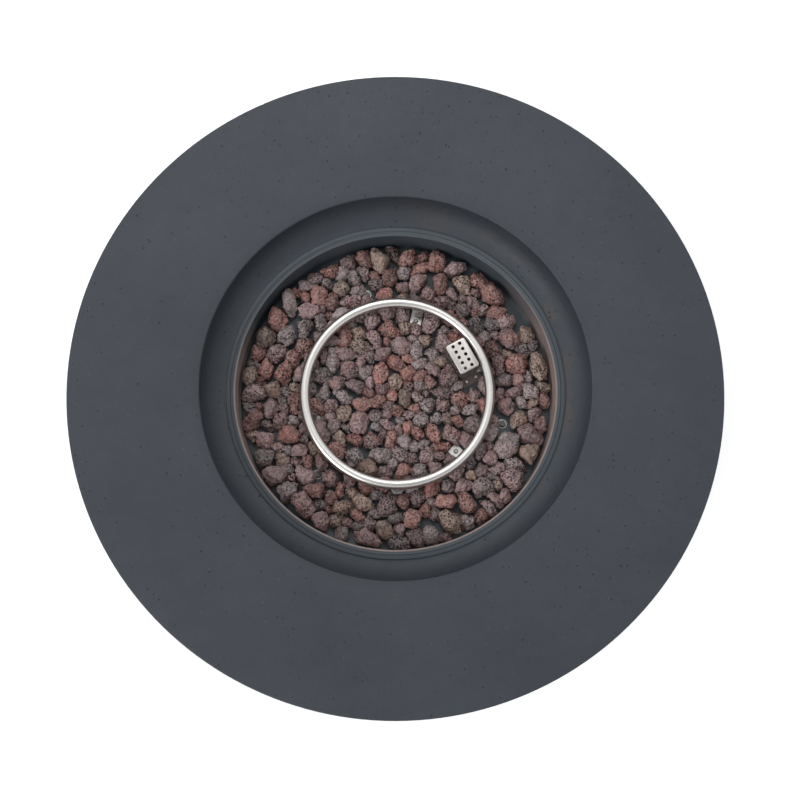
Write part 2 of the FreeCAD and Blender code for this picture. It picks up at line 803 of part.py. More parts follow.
def heat_shield():
    """An eight-sided plate that keeps the bed's heat off the gas fittings."""
    half_step = 180 / SHIELD_SIDES
    corner = SHIELD_FLATS / 2 / math.cos(math.radians(half_step))
    angles = [(2 * k + 1) * half_step for k in range(SHIELD_SIDES + 1)]
    outline = [polar(corner, angle, shield_under_z) for angle in angles]
    plate = Part.Face(Part.makePolygon(outline)).extrude(SHIELD_SHEET * UP)
    feed_spot = Vector(feed_base.x, feed_base.y, shield_under_z)
    cuts = [Part.makeCylinder(MIXER_HOLE_RADIUS, SHIELD_SHEET, feed_spot, UP)]
    for angle in SHIELD_SCREW_ANGLES:
        spot = polar(SHIELD_SCREW_RADIUS, angle, shield_under_z)
        cuts.append(Part.makeCylinder(LARGE_SCREW + HOLE_CLEARANCE, SHIELD_SHEET, spot, UP))
    cuts.append(
        pilot_block(
            -PILOT_OPENING_WIDTH / 2,
            PILOT_OPENING_WIDTH / 2,
            -PILOT_OPENING_LENGTH / 2,
            PILOT_OPENING_LENGTH / 2,
            shield_under_z,
            shield_z,
        )
    )
    return plate.cut(cuts)


def pilot_stations():
    """Places of the pilot jet, the flame probe and the spark electrode along the hood."""
    return (0.0, PILOT_PITCH, -PILOT_PITCH)


def pilot_plate():
    """The flat plate over the floor opening that carries the pilot parts and the hood."""
    side = HOOD_WIDTH / 2
    end = HOOD_LENGTH / 2
    plate = pilot_block(
        -side - PILOT_PLATE_INNER,
        side + PILOT_PLATE_MARGIN,
        -end - PILOT_PLATE_END,
        end + PILOT_PLATE_MARGIN,
        floor_z,
        floor_z + PILOT_PLATE,
    )
    radii = (PILOT_JET_RADIUS, PROBE_RADIUS, ELECTRODE_RADIUS)
    cuts = []
    for v, radius in zip(pilot_stations(), radii):
        base = pilot_frame(0, v, floor_z)
        cuts.append(Part.makeCylinder(radius + STEM_CLEARANCE, PILOT_PLATE, base, UP))
    for u, v in pilot_screw_spots():
        base = pilot_frame(u, v, floor_z)
        cuts.append(Part.makeCylinder(SMALL_SCREW + HOLE_CLEARANCE, PILOT_PLATE, base, UP))
    return plate.cut(cuts)


def pilot_screws():
    """Screws that hold the pilot plate to the pan floor."""
    length = PILOT_PLATE + PAN_SHEET + SMALL_TAIL
    seat_z = floor_z + PILOT_PLATE
    return [round_screw(length, pilot_frame(u, v, seat_z), -1 * UP) for u, v in pilot_screw_spots()]


def pilot_hood():
    """The folded stainless hood: a perforated top and slotted sides, open underneath."""
    side = HOOD_WIDTH / 2
    end = HOOD_LENGTH / 2
    seat_z = floor_z + PILOT_PLATE
    body = pilot_block(-side, side, -end, end, seat_z, hood_top_z)
    hollow = pilot_block(
        HOOD_SHEET - side,
        side - HOOD_SHEET,
        HOOD_SHEET - end,
        end - HOOD_SHEET,
        seat_z,
        hood_top_z - HOOD_SHEET,
    )
    cuts = [hollow]
    for row in range(HOOD_ROWS):
        v = (row - (HOOD_ROWS - 1) / 2) * HOOD_ROW_PITCH
        for column in range(HOOD_COLUMNS):
            u = (column - (HOOD_COLUMNS - 1) / 2) * HOOD_COLUMN_PITCH
            base = pilot_frame(u, v, hood_top_z - HOOD_SHEET)
            cuts.append(Part.makeCylinder(HOOD_HOLE, HOOD_SHEET, base, UP))
    slot_top = hood_top_z - HOOD_SLOT_DROP
    slot_low = slot_top - HOOD_SLOT_HEIGHT
    slot_pitch = HOOD_LENGTH / (HOOD_SLOTS + 1)
    for k in range(HOOD_SLOTS):
        v = (k - (HOOD_SLOTS - 1) / 2) * slot_pitch
        half = HOOD_SLOT_WIDTH / 2
        wide = side + CUT_SPARE
        cuts.append(pilot_block(-wide, wide, v - half, v + half, slot_low, slot_top))
    return body.cut(cuts)


def shouldered_rod(station, radius, height, tip_radius):
    """A rod through the pilot plate, with a shoulder that stands on it and a tip above."""
    base = pilot_frame(0, pilot_stations()[station], floor_under_z - PILOT_TAIL)
    through = PILOT_TAIL + PAN_SHEET + PILOT_PLATE
    seat = base + through * UP
    top = seat + PILOT_SHOULDER_HEIGHT * UP
    shoulder = radius + PILOT_SHOULDER
    return fused(
        [
            Part.makeCylinder(radius, through, base, UP),
            Part.makeCylinder(shoulder, PILOT_SHOULDER_HEIGHT, seat, UP),
            Part.makeCylinder(tip_radius, height - PILOT_SHOULDER_HEIGHT, top, UP),
        ]
    )


def pilot_jet():
    """The brass pilot jet."""
    return shouldered_rod(0, PILOT_JET_RADIUS, PILOT_JET_HEIGHT, PILOT_JET_RADIUS)


def flame_probe():
    """The flame-sensing tip of the thermocouple."""
    return shouldered_rod(1, PROBE_RADIUS, PROBE_HEIGHT, PROBE_TIP)


def spark_electrode():
    """The ceramic electrode holder."""
    return shouldered_rod(2, ELECTRODE_RADIUS, ELECTRODE_HEIGHT, ELECTRODE_RADIUS)


def spark_pin():
    """The bent steel pin that the spark jumps from, on top of its ceramic holder."""
    z = floor_z + PILOT_PLATE + ELECTRODE_HEIGHT
    start = pilot_frame(0, pilot_stations()[2], z)
    corner = start + ELECTRODE_PIN_HEIGHT * UP
    tip_v = pilot_stations()[2] + PILOT_PITCH - PILOT_JET_RADIUS - ELECTRODE_PIN
    tip = pilot_frame(0, tip_v, corner.z)
    return routed_tube([start, corner, tip], ELECTRODE_PIN, ELECTRODE_PIN_BEND)


def air_mixer():
    """The venturi under the ring's feed, with air windows in its bell."""
    bell_inner = MIXER_BELL_RADIUS - MIXER_WALL
    bell_top = mixer_bottom_z + MIXER_BELL_LENGTH
    collar_low = mixer_top_z - MIXER_COLLAR_LENGTH
    socket = FEED_RADIUS + STEM_CLEARANCE
    bore = MIXER_THROAT_RADIUS - MIXER_WALL
    profile = lines(
        [
            (ORIFICE_RADIUS + STEM_CLEARANCE, mixer_bottom_z),
            (MIXER_BELL_RADIUS, mixer_bottom_z),
            (MIXER_BELL_RADIUS, bell_top - MIXER_SLOPE / 2),
            (MIXER_THROAT_RADIUS, bell_top + MIXER_SLOPE / 2),
            (MIXER_THROAT_RADIUS, collar_low),
            (MIXER_COLLAR_RADIUS, collar_low),
            (MIXER_COLLAR_RADIUS, mixer_top_z),
            (socket, mixer_top_z),
            (socket, feed_end_z),
            (bore, feed_end_z),
            (bore, bell_top),
            (bell_inner, bell_top - MIXER_SLOPE / 2),
            (bell_inner, mixer_bottom_z + MIXER_WALL),
            (ORIFICE_RADIUS + STEM_CLEARANCE, mixer_bottom_z + MIXER_WALL),
            (ORIFICE_RADIUS + STEM_CLEARANCE, mixer_bottom_z),
        ]
    )
    mixer = revolved(profile)
    low = mixer_bottom_z + 2 * MIXER_WALL
    half = AIR_WINDOW_WIDTH / 2
    reach = MIXER_BELL_RADIUS + CUT_SPARE
    high = low + AIR_WINDOW_HEIGHT
    cuts = [
        box(Vector(-reach, -half, low), Vector(reach, half, high)),
        box(Vector(-half, -reach, low), Vector(half, reach, high)),
    ]
    mixer = mixer.cut(cuts)
    mixer.translate(feed_base)
    return mixer


def orifice_base():
    """The lowest point of the orifice fitting, on the mixer's axis."""
    return Vector(feed_base.x, feed_base.y, mixer_bottom_z - ORIFICE_HEX - PIPE_NUT_LENGTH / 2)


def orifice_fitting():
    """The brass spud that meters gas into the mixer."""
    base = orifice_base()
    tail = Part.makeCylinder(ORIFICE_RADIUS, PIPE_NUT_LENGTH / 2, base, UP)
    seat = base + PIPE_NUT_LENGTH / 2 * UP
    nut = hexagon(ORIFICE_FLATS, ORIFICE_HEX, seat, UP)
    nose_base = seat + ORIFICE_HEX * UP
    nose_length = MIXER_WALL + ORIFICE_REACH
    nose = Part.makeCylinder(ORIFICE_RADIUS, nose_length, nose_base, UP)
    tip_base = nose_base + nose_length * UP
    tip = Part.makeCone(ORIFICE_RADIUS, ORIFICE_TIP_RADIUS, ORIFICE_TIP, tip_base, UP)
    return fused([tail, nut, nose, tip])


def pipe_nut(start, direction, port_radius):
    """A flare nut that starts on a port and goes along direction round the end of its pipe."""
    nut = hexagon(PIPE_NUT_FLATS, PIPE_NUT_LENGTH, start, direction)
    hollow = Part.makeCylinder(port_radius + STEM_CLEARANCE, PIPE_NUT_LENGTH / 2, start, direction)
    bore = Part.makeCylinder(PIPE_RADIUS + STEM_CLEARANCE, PIPE_NUT_LENGTH, start, direction)
    return nut.cut([hollow, bore])


def outlet_end():
    """Where the burner pipe leaves the back of the valve."""
    return panel_point(VALVE_X, VALVE_DEPTH + PORT_LENGTH)


def inlet_port_end():
    """Where the supply pipe enters the underside of the valve."""
    z = NICHE_Z - VALVE_SIZE / 2 - PORT_LENGTH
    return panel_point(VALVE_X, INLET_PORT_SETBACK, z)


def supply_start():
    """Where the supply pipe meets the inside of the gas inlet."""
    return Vector(0, inlet_faces()[0] - INLET_HEX - INLET_TAIL, INLET_Z)


def burner_pipe():
    """The pipe from the valve to the orifice under the mixer."""
    start = outlet_end()
    end = orifice_base()
    low_z = end.z - BURNER_DROP
    first = start + OUTLET_RUN * INWARD
    halfway = Vector(start.x, (start.y + end.y) / 2, low_z)
    across = Vector(end.x, end.y, low_z)
    return routed_tube([start, first, halfway, across, end], PIPE_RADIUS, PIPE_BEND)


def supply_pipe():
    """The pipe from the gas inlet at the back to the underside of the valve."""
    start = supply_start()
    end = inlet_port_end()
    low = Vector(end.x, end.y, end.z - SUPPLY_DROP)
    middle = Vector(0, 0.5 * end.y, INLET_Z)
    return routed_tube([start, middle, low, end], PIPE_RADIUS, PIPE_BEND)


def pipe_nuts():
    """Flare nuts at both ends of both pipes."""
    ends = [
        (outlet_end(), INWARD, PORT_RADIUS),
        (orifice_base(), -1 * UP, ORIFICE_RADIUS),
        (inlet_port_end(), -1 * UP, PORT_RADIUS),
        (supply_start(), OUTWARD, INLET_RADIUS),
    ]
    nuts = []
    for end, direction, port_radius in ends:
        start = end - PIPE_NUT_LENGTH / 2 * direction
        nuts.append(pipe_nut(start, direction, port_radius))
    return nuts


def gas_inlet():
    """The brass bulkhead fitting: a flanged body outside and a threaded tail each way."""
    inner, outer = inlet_faces()
    start = supply_start()
    reach = outer + INLET_HEX + INLET_TAIL - start.y
    rod = Part.makeCylinder(INLET_RADIUS, reach, start, INWARD)
    flange = hexagon(INLET_FLATS, INLET_HEX, Vector(0, outer, INLET_Z), INWARD)
    gas_way = Part.makeCylinder(PLUG_PORT, reach, start, INWARD)
    return fused([rod, flange]).cut(gas_way)


def inlet_locknut():
    """The nut that pulls the inlet fitting against the inner spot face."""
    inner, _ = inlet_faces()
    base = Vector(0, inner - INLET_HEX, INLET_Z)
    nut = hexagon(INLET_FLATS, INLET_HEX, base, INWARD)
    return nut.cut(Part.makeCylinder(INLET_RADIUS + STEM_CLEARANCE, INLET_HEX, base, INWARD))


def valve_body():
    """The die-cast valve with a tapered bore, an outlet, an inlet and the magnet unit's port."""
    half = VALVE_SIZE / 2
    low = panel_point(VALVE_X - half, 0, NICHE_Z - half)
    block = box(low, low + Vector(VALVE_SIZE, VALVE_DEPTH, VALVE_SIZE))
    outlet = Part.makeCylinder(PORT_RADIUS, PORT_LENGTH, panel_point(VALVE_X, VALVE_DEPTH), INWARD)
    inlet = Part.makeCylinder(PORT_RADIUS, PORT_LENGTH, inlet_port_end(), UP)
    bore_radius = PLUG_RADIUS + PLUG_CLEARANCE
    room = Part.makeCylinder(bore_radius, plug_depth, panel_point(VALVE_X, 0), INWARD)
    seat = Part.makeCone(
        bore_radius,
        PLUG_SMALL_RADIUS + PLUG_CLEARANCE,
        PLUG_LENGTH,
        panel_point(VALVE_X, plug_depth),
        INWARD,
    )
    cuts = [room, seat]
    for side in (-1, 1):
        spot = panel_point(VALVE_X + side * VALVE_SCREW_PITCH / 2, 0)
        depth = VALVE_SCREW_LENGTH - PANEL_SHEET + SCREW_SPARE
        cuts.append(Part.makeCylinder(SMALL_SCREW + HOLE_CLEARANCE, depth, spot, INWARD))
    return fused([block, outlet, inlet]).cut(cuts)


def valve_gland():
    """The ring that closes the valve's bore and holds the stem in."""
    outer = PLUG_RADIUS
    hole = STEM_RADIUS + STEM_CLEARANCE
    return tube(outer, hole, GLAND_THICKNESS, panel_point(VALVE_X, 0), INWARD)


def magnet_unit():
    """The safety magnet that shuts the gas when the flame probe cools."""
    start = panel_point(VALVE_X + VALVE_SIZE / 2, INLET_PORT_SETBACK)
    side = Vector(1, 0, 0)
    barrel = Part.makeCylinder(MAGNET_RADIUS, MAGNET_LENGTH, start, side)
    nut = hexagon(MAGNET_NUT_FLATS, MAGNET_NUT, start + MAGNET_LENGTH * side, side)
    return fused([barrel, nut])


def d_rod(radius, length, depth):
    """A round rod with one flat, along the valve's axis."""
    rod = Part.makeCylinder(radius, length, panel_point(VALVE_X, depth), INWARD)
    wide = 2 * radius
    flat_z = NICHE_Z + radius - STEM_FLAT
    flat = box(
        panel_point(VALVE_X - wide, depth, flat_z),
        panel_point(VALVE_X + wide, depth + length, flat_z + wide),
    )
    return rod.cut(flat)


def valve_plug():
    """The tapered plug that opens the gas way as it turns."""
    plug = Part.makeCone(
        PLUG_RADIUS, PLUG_SMALL_RADIUS, PLUG_LENGTH, panel_point(VALVE_X, plug_depth), INWARD
    )
    socket_length = STEM_IN_PLUG + PUSH_TRAVEL + PUSH_SPARE
    socket = d_rod(STEM_RADIUS + STEM_CLEARANCE, socket_length, plug_depth)
    port_depth = plug_depth + socket_length + PLUG_PORT + PLUG_WEB
    port_base = panel_point(VALVE_X, port_depth, NICHE_Z - PLUG_RADIUS)
    port = Part.makeCylinder(PLUG_PORT, 2 * PLUG_RADIUS, port_base, UP)
    return plug.cut([socket, port])


def knob_back_depth():
    """Depth of the knob's back face before the panel's seat, as a negative number."""
    return -(PANEL_SHEET + BEZEL_THICKNESS + PUSH_TRAVEL + PUSH_SPARE)


def valve_stem():
    """The flatted stem with the collar that the spring pushes against the gland."""
    start = knob_back_depth() - STEM_IN_KNOB
    length = plug_depth + STEM_IN_PLUG - start
    rod = d_rod(STEM_RADIUS, length, start)
    collar_base = panel_point(VALVE_X, GLAND_THICKNESS)
    collar = Part.makeCylinder(COLLAR_RADIUS, COLLAR_THICKNESS, collar_base, INWARD)
    return fused([rod, collar])


def coil_spring(radius, wire, length, turns, base):
    """A coil of square wire in straight spans, along the valve's axis, as one closed solid."""
    half = wire / 2
    corners = ((-half, -half), (half, -half), (half, half), (-half, half))
    steps = turns * SPRING_SIDES
    rise = (length - wire) / steps
    rings = []
    for step in range(steps + 1):
        angle = 2 * math.pi * step / SPRING_SIDES
        ring = []
        for across, along in corners:
            reach = radius + across
            depth = half + step * rise + along
            ring.append(base + Vector(reach * math.cos(angle), depth, reach * math.sin(angle)))
        rings.append(ring)
    faces = [rings[0][::-1], rings[-1]]
    for low, high in zip(rings, rings[1:]):
        for k in range(4):
            n = (k + 1) % 4
            faces.append([low[k], low[n], high[n]])
            faces.append([low[k], high[n], high[k]])
    return solid_of_faces(faces)


def solid_of_faces(faces):
    """A closed solid from flat faces, each given by its corners."""
    skin = [Part.Face(Part.makePolygon(points + points[:1])) for points in faces]
    solid = Part.Solid(Part.Shell(skin))
    if solid.Volume < 0:
        solid.reverse()
    return solid


def stem_spring():
    """The spring that pushes the knob back out."""
    base = panel_point(VALVE_X, spring_depth)
    return coil_spring(SPRING_RADIUS, SPRING_WIRE, SPRING_ROOM, SPRING_TURNS, base)


def control_knob():
    """The fluted knob with a skirt, a pointer ridge and a flatted bore."""
    back = panel_point(VALVE_X, knob_back_depth())
    skirt = Part.makeCone(KNOB_RADIUS, KNOB_RADIUS - KNOB_EDGE, KNOB_SKIRT, back, OUTWARD)
    grip_length = KNOB_LENGTH - KNOB_EDGE
    grip = Part.makeCylinder(KNOB_GRIP_RADIUS, grip_length, back, OUTWARD)
    crown = Part.makeCone(
        KNOB_GRIP_RADIUS,
        KNOB_GRIP_RADIUS - KNOB_EDGE,
        KNOB_EDGE,
        back + grip_length * OUTWARD,
        OUTWARD,
    )
    cuts = []
    for k in range(KNOB_FLUTES):
        angle = math.radians(360 * (k + 0.5) / KNOB_FLUTES)
        reach = KNOB_GRIP_RADIUS + 0.5 * KNOB_FLUTE_RADIUS
        offset = Vector(reach * math.cos(angle), 0, reach * math.sin(angle))
        start = back + offset + KNOB_SKIRT * OUTWARD
        cuts.append(Part.makeCylinder(KNOB_FLUTE_RADIUS, KNOB_LENGTH, start, OUTWARD))
    pointer_low = Vector(-POINTER_WIDTH / 2, -KNOB_SKIRT - POINTER_HEIGHT, KNOB_GRIP_RADIUS - KNOB_EDGE)
    pointer_end = Vector(POINTER_WIDTH / 2, -KNOB_SKIRT, KNOB_RADIUS - 2 * KNOB_EDGE)
    pointer = box(back + pointer_low, back + pointer_end)
    bore = d_rod(STEM_RADIUS, STEM_IN_KNOB, knob_back_depth() - STEM_IN_KNOB)
    return fused([skirt, grip, crown, pointer]).cut(cuts + [bore])


def knob_bezel():
    """The dial ring between the panel and the knob."""
    front = panel_point(VALVE_X, -PANEL_SHEET - BEZEL_THICKNESS)
    return tube(BEZEL_RADIUS, STEM_HOLE_RADIUS, BEZEL_THICKNESS, front, INWARD)


def control_panel():
    """The stainless plate over the niche's opening."""
    half_width = PANEL_WIDTH / 2
    half_height = PANEL_HEIGHT / 2
    plate = framed(half_width, half_height, panel_y - PANEL_SHEET, panel_y)
    front = -PANEL_SHEET
    holes = [(VALVE_X, NICHE_Z, STEM_HOLE_RADIUS)]
    holes += [(IGNITER_X, NICHE_Z, IGNITER_RADIUS + HOLE_CLEARANCE)]
    holes += [(x, z, SMALL_SCREW + HOLE_CLEARANCE) for x, z in panel_screw_spots()]
    for side in (-1, 1):
        x = VALVE_X + side * VALVE_SCREW_PITCH / 2
        holes.append((x, NICHE_Z, SMALL_SCREW + HOLE_CLEARANCE))
    cuts = [
        Part.makeCylinder(radius, PANEL_SHEET, panel_point(x, front, z), INWARD)
        for x, z, radius in holes
    ]
    return plate.cut(cuts)


def panel_screws():
    """Screws in the panel's corners."""
    length = PANEL_SHEET + PANEL_SCREW_LENGTH - SCREW_SPARE
    spots = panel_screw_spots()
    return [round_screw(length, panel_point(x, -PANEL_SHEET, z), INWARD) for x, z in spots]


def battery_depth():
    """Depth of the cell's front end, behind a web at the back of the button's room."""
    return -PANEL_SHEET - IGNITER_BEZEL + BUTTON_SLEEVE + BUTTON_TRAVEL + BATTERY_WEB


def igniter_body():
    """The igniter's threaded barrel, open at the front for the button, with a flanged bezel."""
    bezel_base = panel_point(IGNITER_X, -PANEL_SHEET - IGNITER_BEZEL)
    bezel = Part.makeCylinder(IGNITER_BEZEL_RADIUS, IGNITER_BEZEL, bezel_base, INWARD)
    barrel = Part.makeCylinder(IGNITER_RADIUS, IGNITER_LENGTH, bezel_base, INWARD)
    terminal_base = bezel_base + IGNITER_LENGTH * INWARD
    terminal = Part.makeCylinder(TERMINAL_RADIUS, TERMINAL_LENGTH, terminal_base, INWARD)
    button_room = Part.makeCylinder(
        BUTTON_RADIUS + BUTTON_GAP, BUTTON_SLEEVE + BUTTON_TRAVEL, bezel_base, INWARD
    )
    battery_base = panel_point(IGNITER_X, battery_depth())
    battery_room = Part.makeCylinder(
        BATTERY_RADIUS + STEM_CLEARANCE, BATTERY_LENGTH + STEM_CLEARANCE, battery_base, INWARD
    )
    return fused([bezel, barrel, terminal]).cut([button_room, battery_room])


def igniter_battery():
    """The cell inside the igniter's barrel."""
    base = panel_point(IGNITER_X, battery_depth())
    return Part.makeCylinder(BATTERY_RADIUS, BATTERY_LENGTH, base, INWARD)


def igniter_nut():
    """The ring nut behind the panel."""
    base = panel_point(IGNITER_X, 0)
    return tube(IGNITER_NUT_RADIUS, IGNITER_RADIUS + STEM_CLEARANCE, IGNITER_NUT, base, INWARD)


def button_front_depth():
    """Depth of the push cap's front face, as a negative number."""
    return -PANEL_SHEET - IGNITER_BEZEL - BUTTON_PROUD


def igniter_button():
    """The push cap that slides in the barrel, hollow at the back for its spring."""
    front = panel_point(IGNITER_X, button_front_depth())
    length = BUTTON_PROUD + BUTTON_SLEEVE - PUSH_SPARE
    cap = Part.makeCylinder(BUTTON_RADIUS, length - BUTTON_EDGE, front + BUTTON_EDGE * INWARD, INWARD)
    edge = Part.makeCone(BUTTON_RADIUS - BUTTON_EDGE, BUTTON_RADIUS, BUTTON_EDGE, front, INWARD)
    hollow_base = front + BUTTON_WALL * INWARD
    hollow = Part.makeCylinder(BUTTON_RADIUS - BUTTON_WALL, length, hollow_base, INWARD)
    return fused([cap, edge]).cut(hollow)


def button_spring():
    """The spring that pushes the cap back out."""
    start = button_front_depth() + BUTTON_WALL
    end = -PANEL_SHEET - IGNITER_BEZEL + BUTTON_SLEEVE + BUTTON_TRAVEL
    base = panel_point(IGNITER_X, start)
    return coil_spring(BUTTON_SPRING_RADIUS, SPRING_WIRE, end - start, BUTTON_SPRING_TURNS, base)


def valve_screws():
    """Screws that hold the valve to the panel, under the dial ring."""
    seat_depth = -PANEL_SHEET
    screws = []
    for side in (-1, 1):
        spot = panel_point(VALVE_X + side * VALVE_SCREW_PITCH / 2, seat_depth)
        screws.append(Part.makeCylinder(SMALL_SCREW, VALVE_SCREW_LENGTH, spot, INWARD))
    return screws


def lead(station, radius, level, end):
    """A thin line from under a pilot part, across below the heat shield, to its end."""
    start = pilot_frame(0, station, floor_under_z - PILOT_TAIL)
    corner = Vector(start.x, start.y, level)
    over = Vector(end.x, end.y, level)
    return routed_tube([start, corner, over, end], radius, LEAD_BEND)


def pilot_gas_tube():
    """The thin tube that feeds the pilot jet from the top of the valve."""
    end = panel_point(VALVE_X, INLET_PORT_SETBACK, NICHE_Z + VALVE_SIZE / 2)
    return lead(pilot_stations()[0], PILOT_TUBE, shield_under_z - LEAD_DROPS[0], end)


def probe_lead():
    """The thermocouple's lead, from the flame probe to the magnet unit."""
    x = VALVE_X + VALVE_SIZE / 2 + MAGNET_LENGTH / 2
    end = panel_point(x, INLET_PORT_SETBACK, NICHE_Z + MAGNET_RADIUS)
    return lead(pilot_stations()[1], PROBE_LEAD, shield_under_z - LEAD_DROPS[1], end)


def spark_lead():
    """The insulated lead from the igniter to the spark electrode."""
    depth = IGNITER_LENGTH - PANEL_SHEET - IGNITER_BEZEL + TERMINAL_LENGTH
    end = panel_point(IGNITER_X, depth)
    start = pilot_frame(0, pilot_stations()[2], floor_under_z - PILOT_TAIL)
    level = shield_under_z - LEAD_DROPS[2]
    corner = Vector(start.x, start.y, level)
    back = end + SPARK_RUN * INWARD
    over = Vector(back.x, back.y, level)
    return routed_tube([start, corner, over, back, end], SPARK_LEAD, LEAD_BEND)


def square_patch(middle, half):
    """A square patch of the pan floor."""
    return middle.x, middle.y, 0.0, half, half


def bed_fixtures():
    """Patches of the pan floor that the rocks keep clear of: middle, turn and half sizes."""
    patches = []
    for angle in BRACKET_ANGLES:
        middle = RING_RADIUS - BRACKET_UPRIGHT_INSET + BRACKET_SHEET / 2 - BRACKET_FOOT / 2
        spot = polar(middle, angle, 0, burner_centre)
        half = (BRACKET_FOOT + BRACKET_SHEET) / 2
        patches.append((spot.x, spot.y, angle, half, BRACKET_WIDTH / 2))
    for angle in SHIELD_SCREW_ANGLES:
        patches.append(square_patch(polar(SHIELD_SCREW_RADIUS, angle, 0), WASHER_RADIUS))
    patches.append(square_patch(feed_base, LOCKNUT_FLATS / math.sqrt(3)))
    plate = pilot_frame(
        (PILOT_PLATE_MARGIN - PILOT_PLATE_INNER) / 2, (PILOT_PLATE_MARGIN - PILOT_PLATE_END) / 2, 0
    )
    half_across = (HOOD_WIDTH + PILOT_PLATE_INNER + PILOT_PLATE_MARGIN) / 2
    half_along = (HOOD_LENGTH + PILOT_PLATE_END + PILOT_PLATE_MARGIN) / 2
    patches.append((plate.x, plate.y, PILOT_ANGLE, half_across, half_along))
    return patches


def nearest_side(rock, patch):
    """The outward direction of a patch's side that faces a rock, and the gap to the rock's middle."""
    x, y, degrees, half_u, half_v = patch
    turn = math.radians(degrees)
    along = (math.cos(turn), math.sin(turn))
    across = (-along[1], along[0])
    dx = rock[0] - x
    dy = rock[1] - y
    sides = []
    for (ux, uy), half in ((along, half_u), (across, half_v)):
        reach = dx * ux + dy * uy
        sign = 1 if reach > 0 else -1
        sides.append((abs(reach) - half, sign * ux, sign * uy))
    gap, nx, ny = max(sides)
    return nx, ny, gap


def push_apart(rock, other, held):
    """Move a rock off a neighbour that it overlaps, and the neighbour too unless it is held."""
    dx = rock[0] - other[0]
    dy = rock[1] - other[1]
    meet = rock[2] + other[2]
    if abs(dx) >= meet or abs(dy) >= meet:
        return
    apart = math.hypot(dx, dy)
    if 0 < apart < meet:
        step = (1.0 if held else 0.5) * (meet - apart) / apart
        rock[0] += step * dx
        rock[1] += step * dy
        if not held:
            other[0] -= step * dx
            other[1] -= step * dy


def settled_bed(draw, patches):
    """Rock middles, radii and colours, pushed apart on the pan floor until they barely meet."""
    limit = pan_radius - PAN_CORNER
    count = int(math.pi * limit ** 2 / ROCK_PITCH ** 2)
    golden = math.pi * (3 - math.sqrt(5))
    held = []
    for share, angle, size, colour in LANDMARK_ROCKS:
        spot = polar(share * pan_radius, angle, 0)
        held.append([spot.x, spot.y, size, colour])
    loose = []
    for k in range(count):
        size = ROCK_SMALL + (ROCK_LARGE - ROCK_SMALL) * draw.random() ** ROCK_SIZE_LEAN
        reach = (limit - size) * math.sqrt((k + 0.5) / count)
        angle = k * golden + draw.uniform(-ROCK_SWAY, ROCK_SWAY)
        colour = draw.choices(ROCK_COLOURS, ROCK_SHARES)[0]
        loose.append([reach * math.cos(angle), reach * math.sin(angle), size, colour])
    for _ in range(ROCK_ROUNDS):
        for i, rock in enumerate(loose):
            for other in loose[i + 1:]:
                push_apart(rock, other, False)
            for other in held:
                push_apart(rock, other, True)
            for patch in patches:
                nx, ny, gap = nearest_side(rock, patch)
                if gap < rock[2]:
                    rock[0] += (rock[2] - gap) * nx
                    rock[1] += (rock[2] - gap) * ny
            away = math.hypot(rock[0], rock[1])
            most = limit - rock[2]
            if away > most:
                rock[0] *= most / away
                rock[1] *= most / away
    bed = list(held)
    for rock in loose:
        if roomy(rock, bed, patches):
            bed.append(rock)
    return bed


def roomy(rock, bed, patches):
    """Whether a rock's middle lies well outside every fixture and every rock that is already in."""
    beside = all(nearest_side(rock, patch)[2] > ROCK_BESIDE * rock[2] for patch in patches)
    return beside and all(
        math.hypot(rock[0] - other[0], rock[1] - other[1]) > ROCK_APART * (rock[2] + other[2])
        for other in bed
    )


def rock_walls(rock, bed, patches):
    """Upright planes that part a rock from its neighbours, as a direction and a distance."""
    walls = []
    for other in bed:
        dx = other[0] - rock[0]
        dy = other[1] - rock[1]
        apart = math.hypot(dx, dy)
        if other is not rock and apart < ROCK_STRETCH * (rock[2] + other[2]):
            middle = (apart ** 2 + rock[2] ** 2 - other[2] ** 2) / (2 * apart)
            walls.append((dx / apart, dy / apart, middle - ROCK_GAP / 2))
    for patch in patches:
        nx, ny, gap = nearest_side(rock, patch)
        walls.append((-nx, -ny, gap - ROCK_GAP))
    return walls


def reach_along(rock, walls, direction):
    """How far a rock may reach from its middle along a direction before it meets a neighbour."""
    reach = ROCK_STRETCH * rock[2]
    for nx, ny, distance in walls:
        facing = direction[0] * nx + direction[1] * ny
        if facing * reach > distance:
            reach = distance / facing
    limit = pan_radius - PAN_CORNER - ROCK_GAP
    along = rock[0] * direction[0] + rock[1] * direction[1]
    room = limit ** 2 - rock[0] ** 2 - rock[1] ** 2 + along ** 2
    return min(reach, math.sqrt(room) - along)


def rock_room(rock):
    """How tall a rock may be: under the ring and its brackets, or beside them."""
    away = math.hypot(rock[0] - BURNER_X, rock[1])
    beside = away - ROCK_STRETCH * rock[2] > RING_RADIUS + RING_TUBE + ROCK_GAP
    return ROCK_HIGHEST if beside else rock_ceiling_z - floor_z


def ring_of_corners(rock, walls, draw, sides, spread, levels, height, turn):
    """Corners round a rock at uneven reaches, at levels given as shares of its height."""
    corners = []
    for k in range(sides):
        jitter = draw.uniform(-CORNER_JITTER, CORNER_JITTER)
        angle = math.radians(turn + 360 * (k + 0.5) / sides + jitter)
        direction = (math.cos(angle), math.sin(angle))
        reach = draw.uniform(*spread) * reach_along(rock, walls, direction)
        z = floor_z + height * draw.uniform(*levels)
        corners.append(Vector(rock[0] + reach * direction[0], rock[1] + reach * direction[1], z))
    return corners


def strip(outer, inner):
    """Triangles between two rings of corners, the outer one with at least as many."""
    faces = []
    sides = len(outer)
    inner_sides = len(inner)
    for k in range(sides):
        n = (k + 1) % sides
        a = k * inner_sides // sides
        b = (k + 1) * inner_sides // sides % inner_sides
        faces.append([outer[k], outer[n], inner[a]])
        if a != b:
            faces.append([outer[n], inner[b], inner[a]])
    return faces


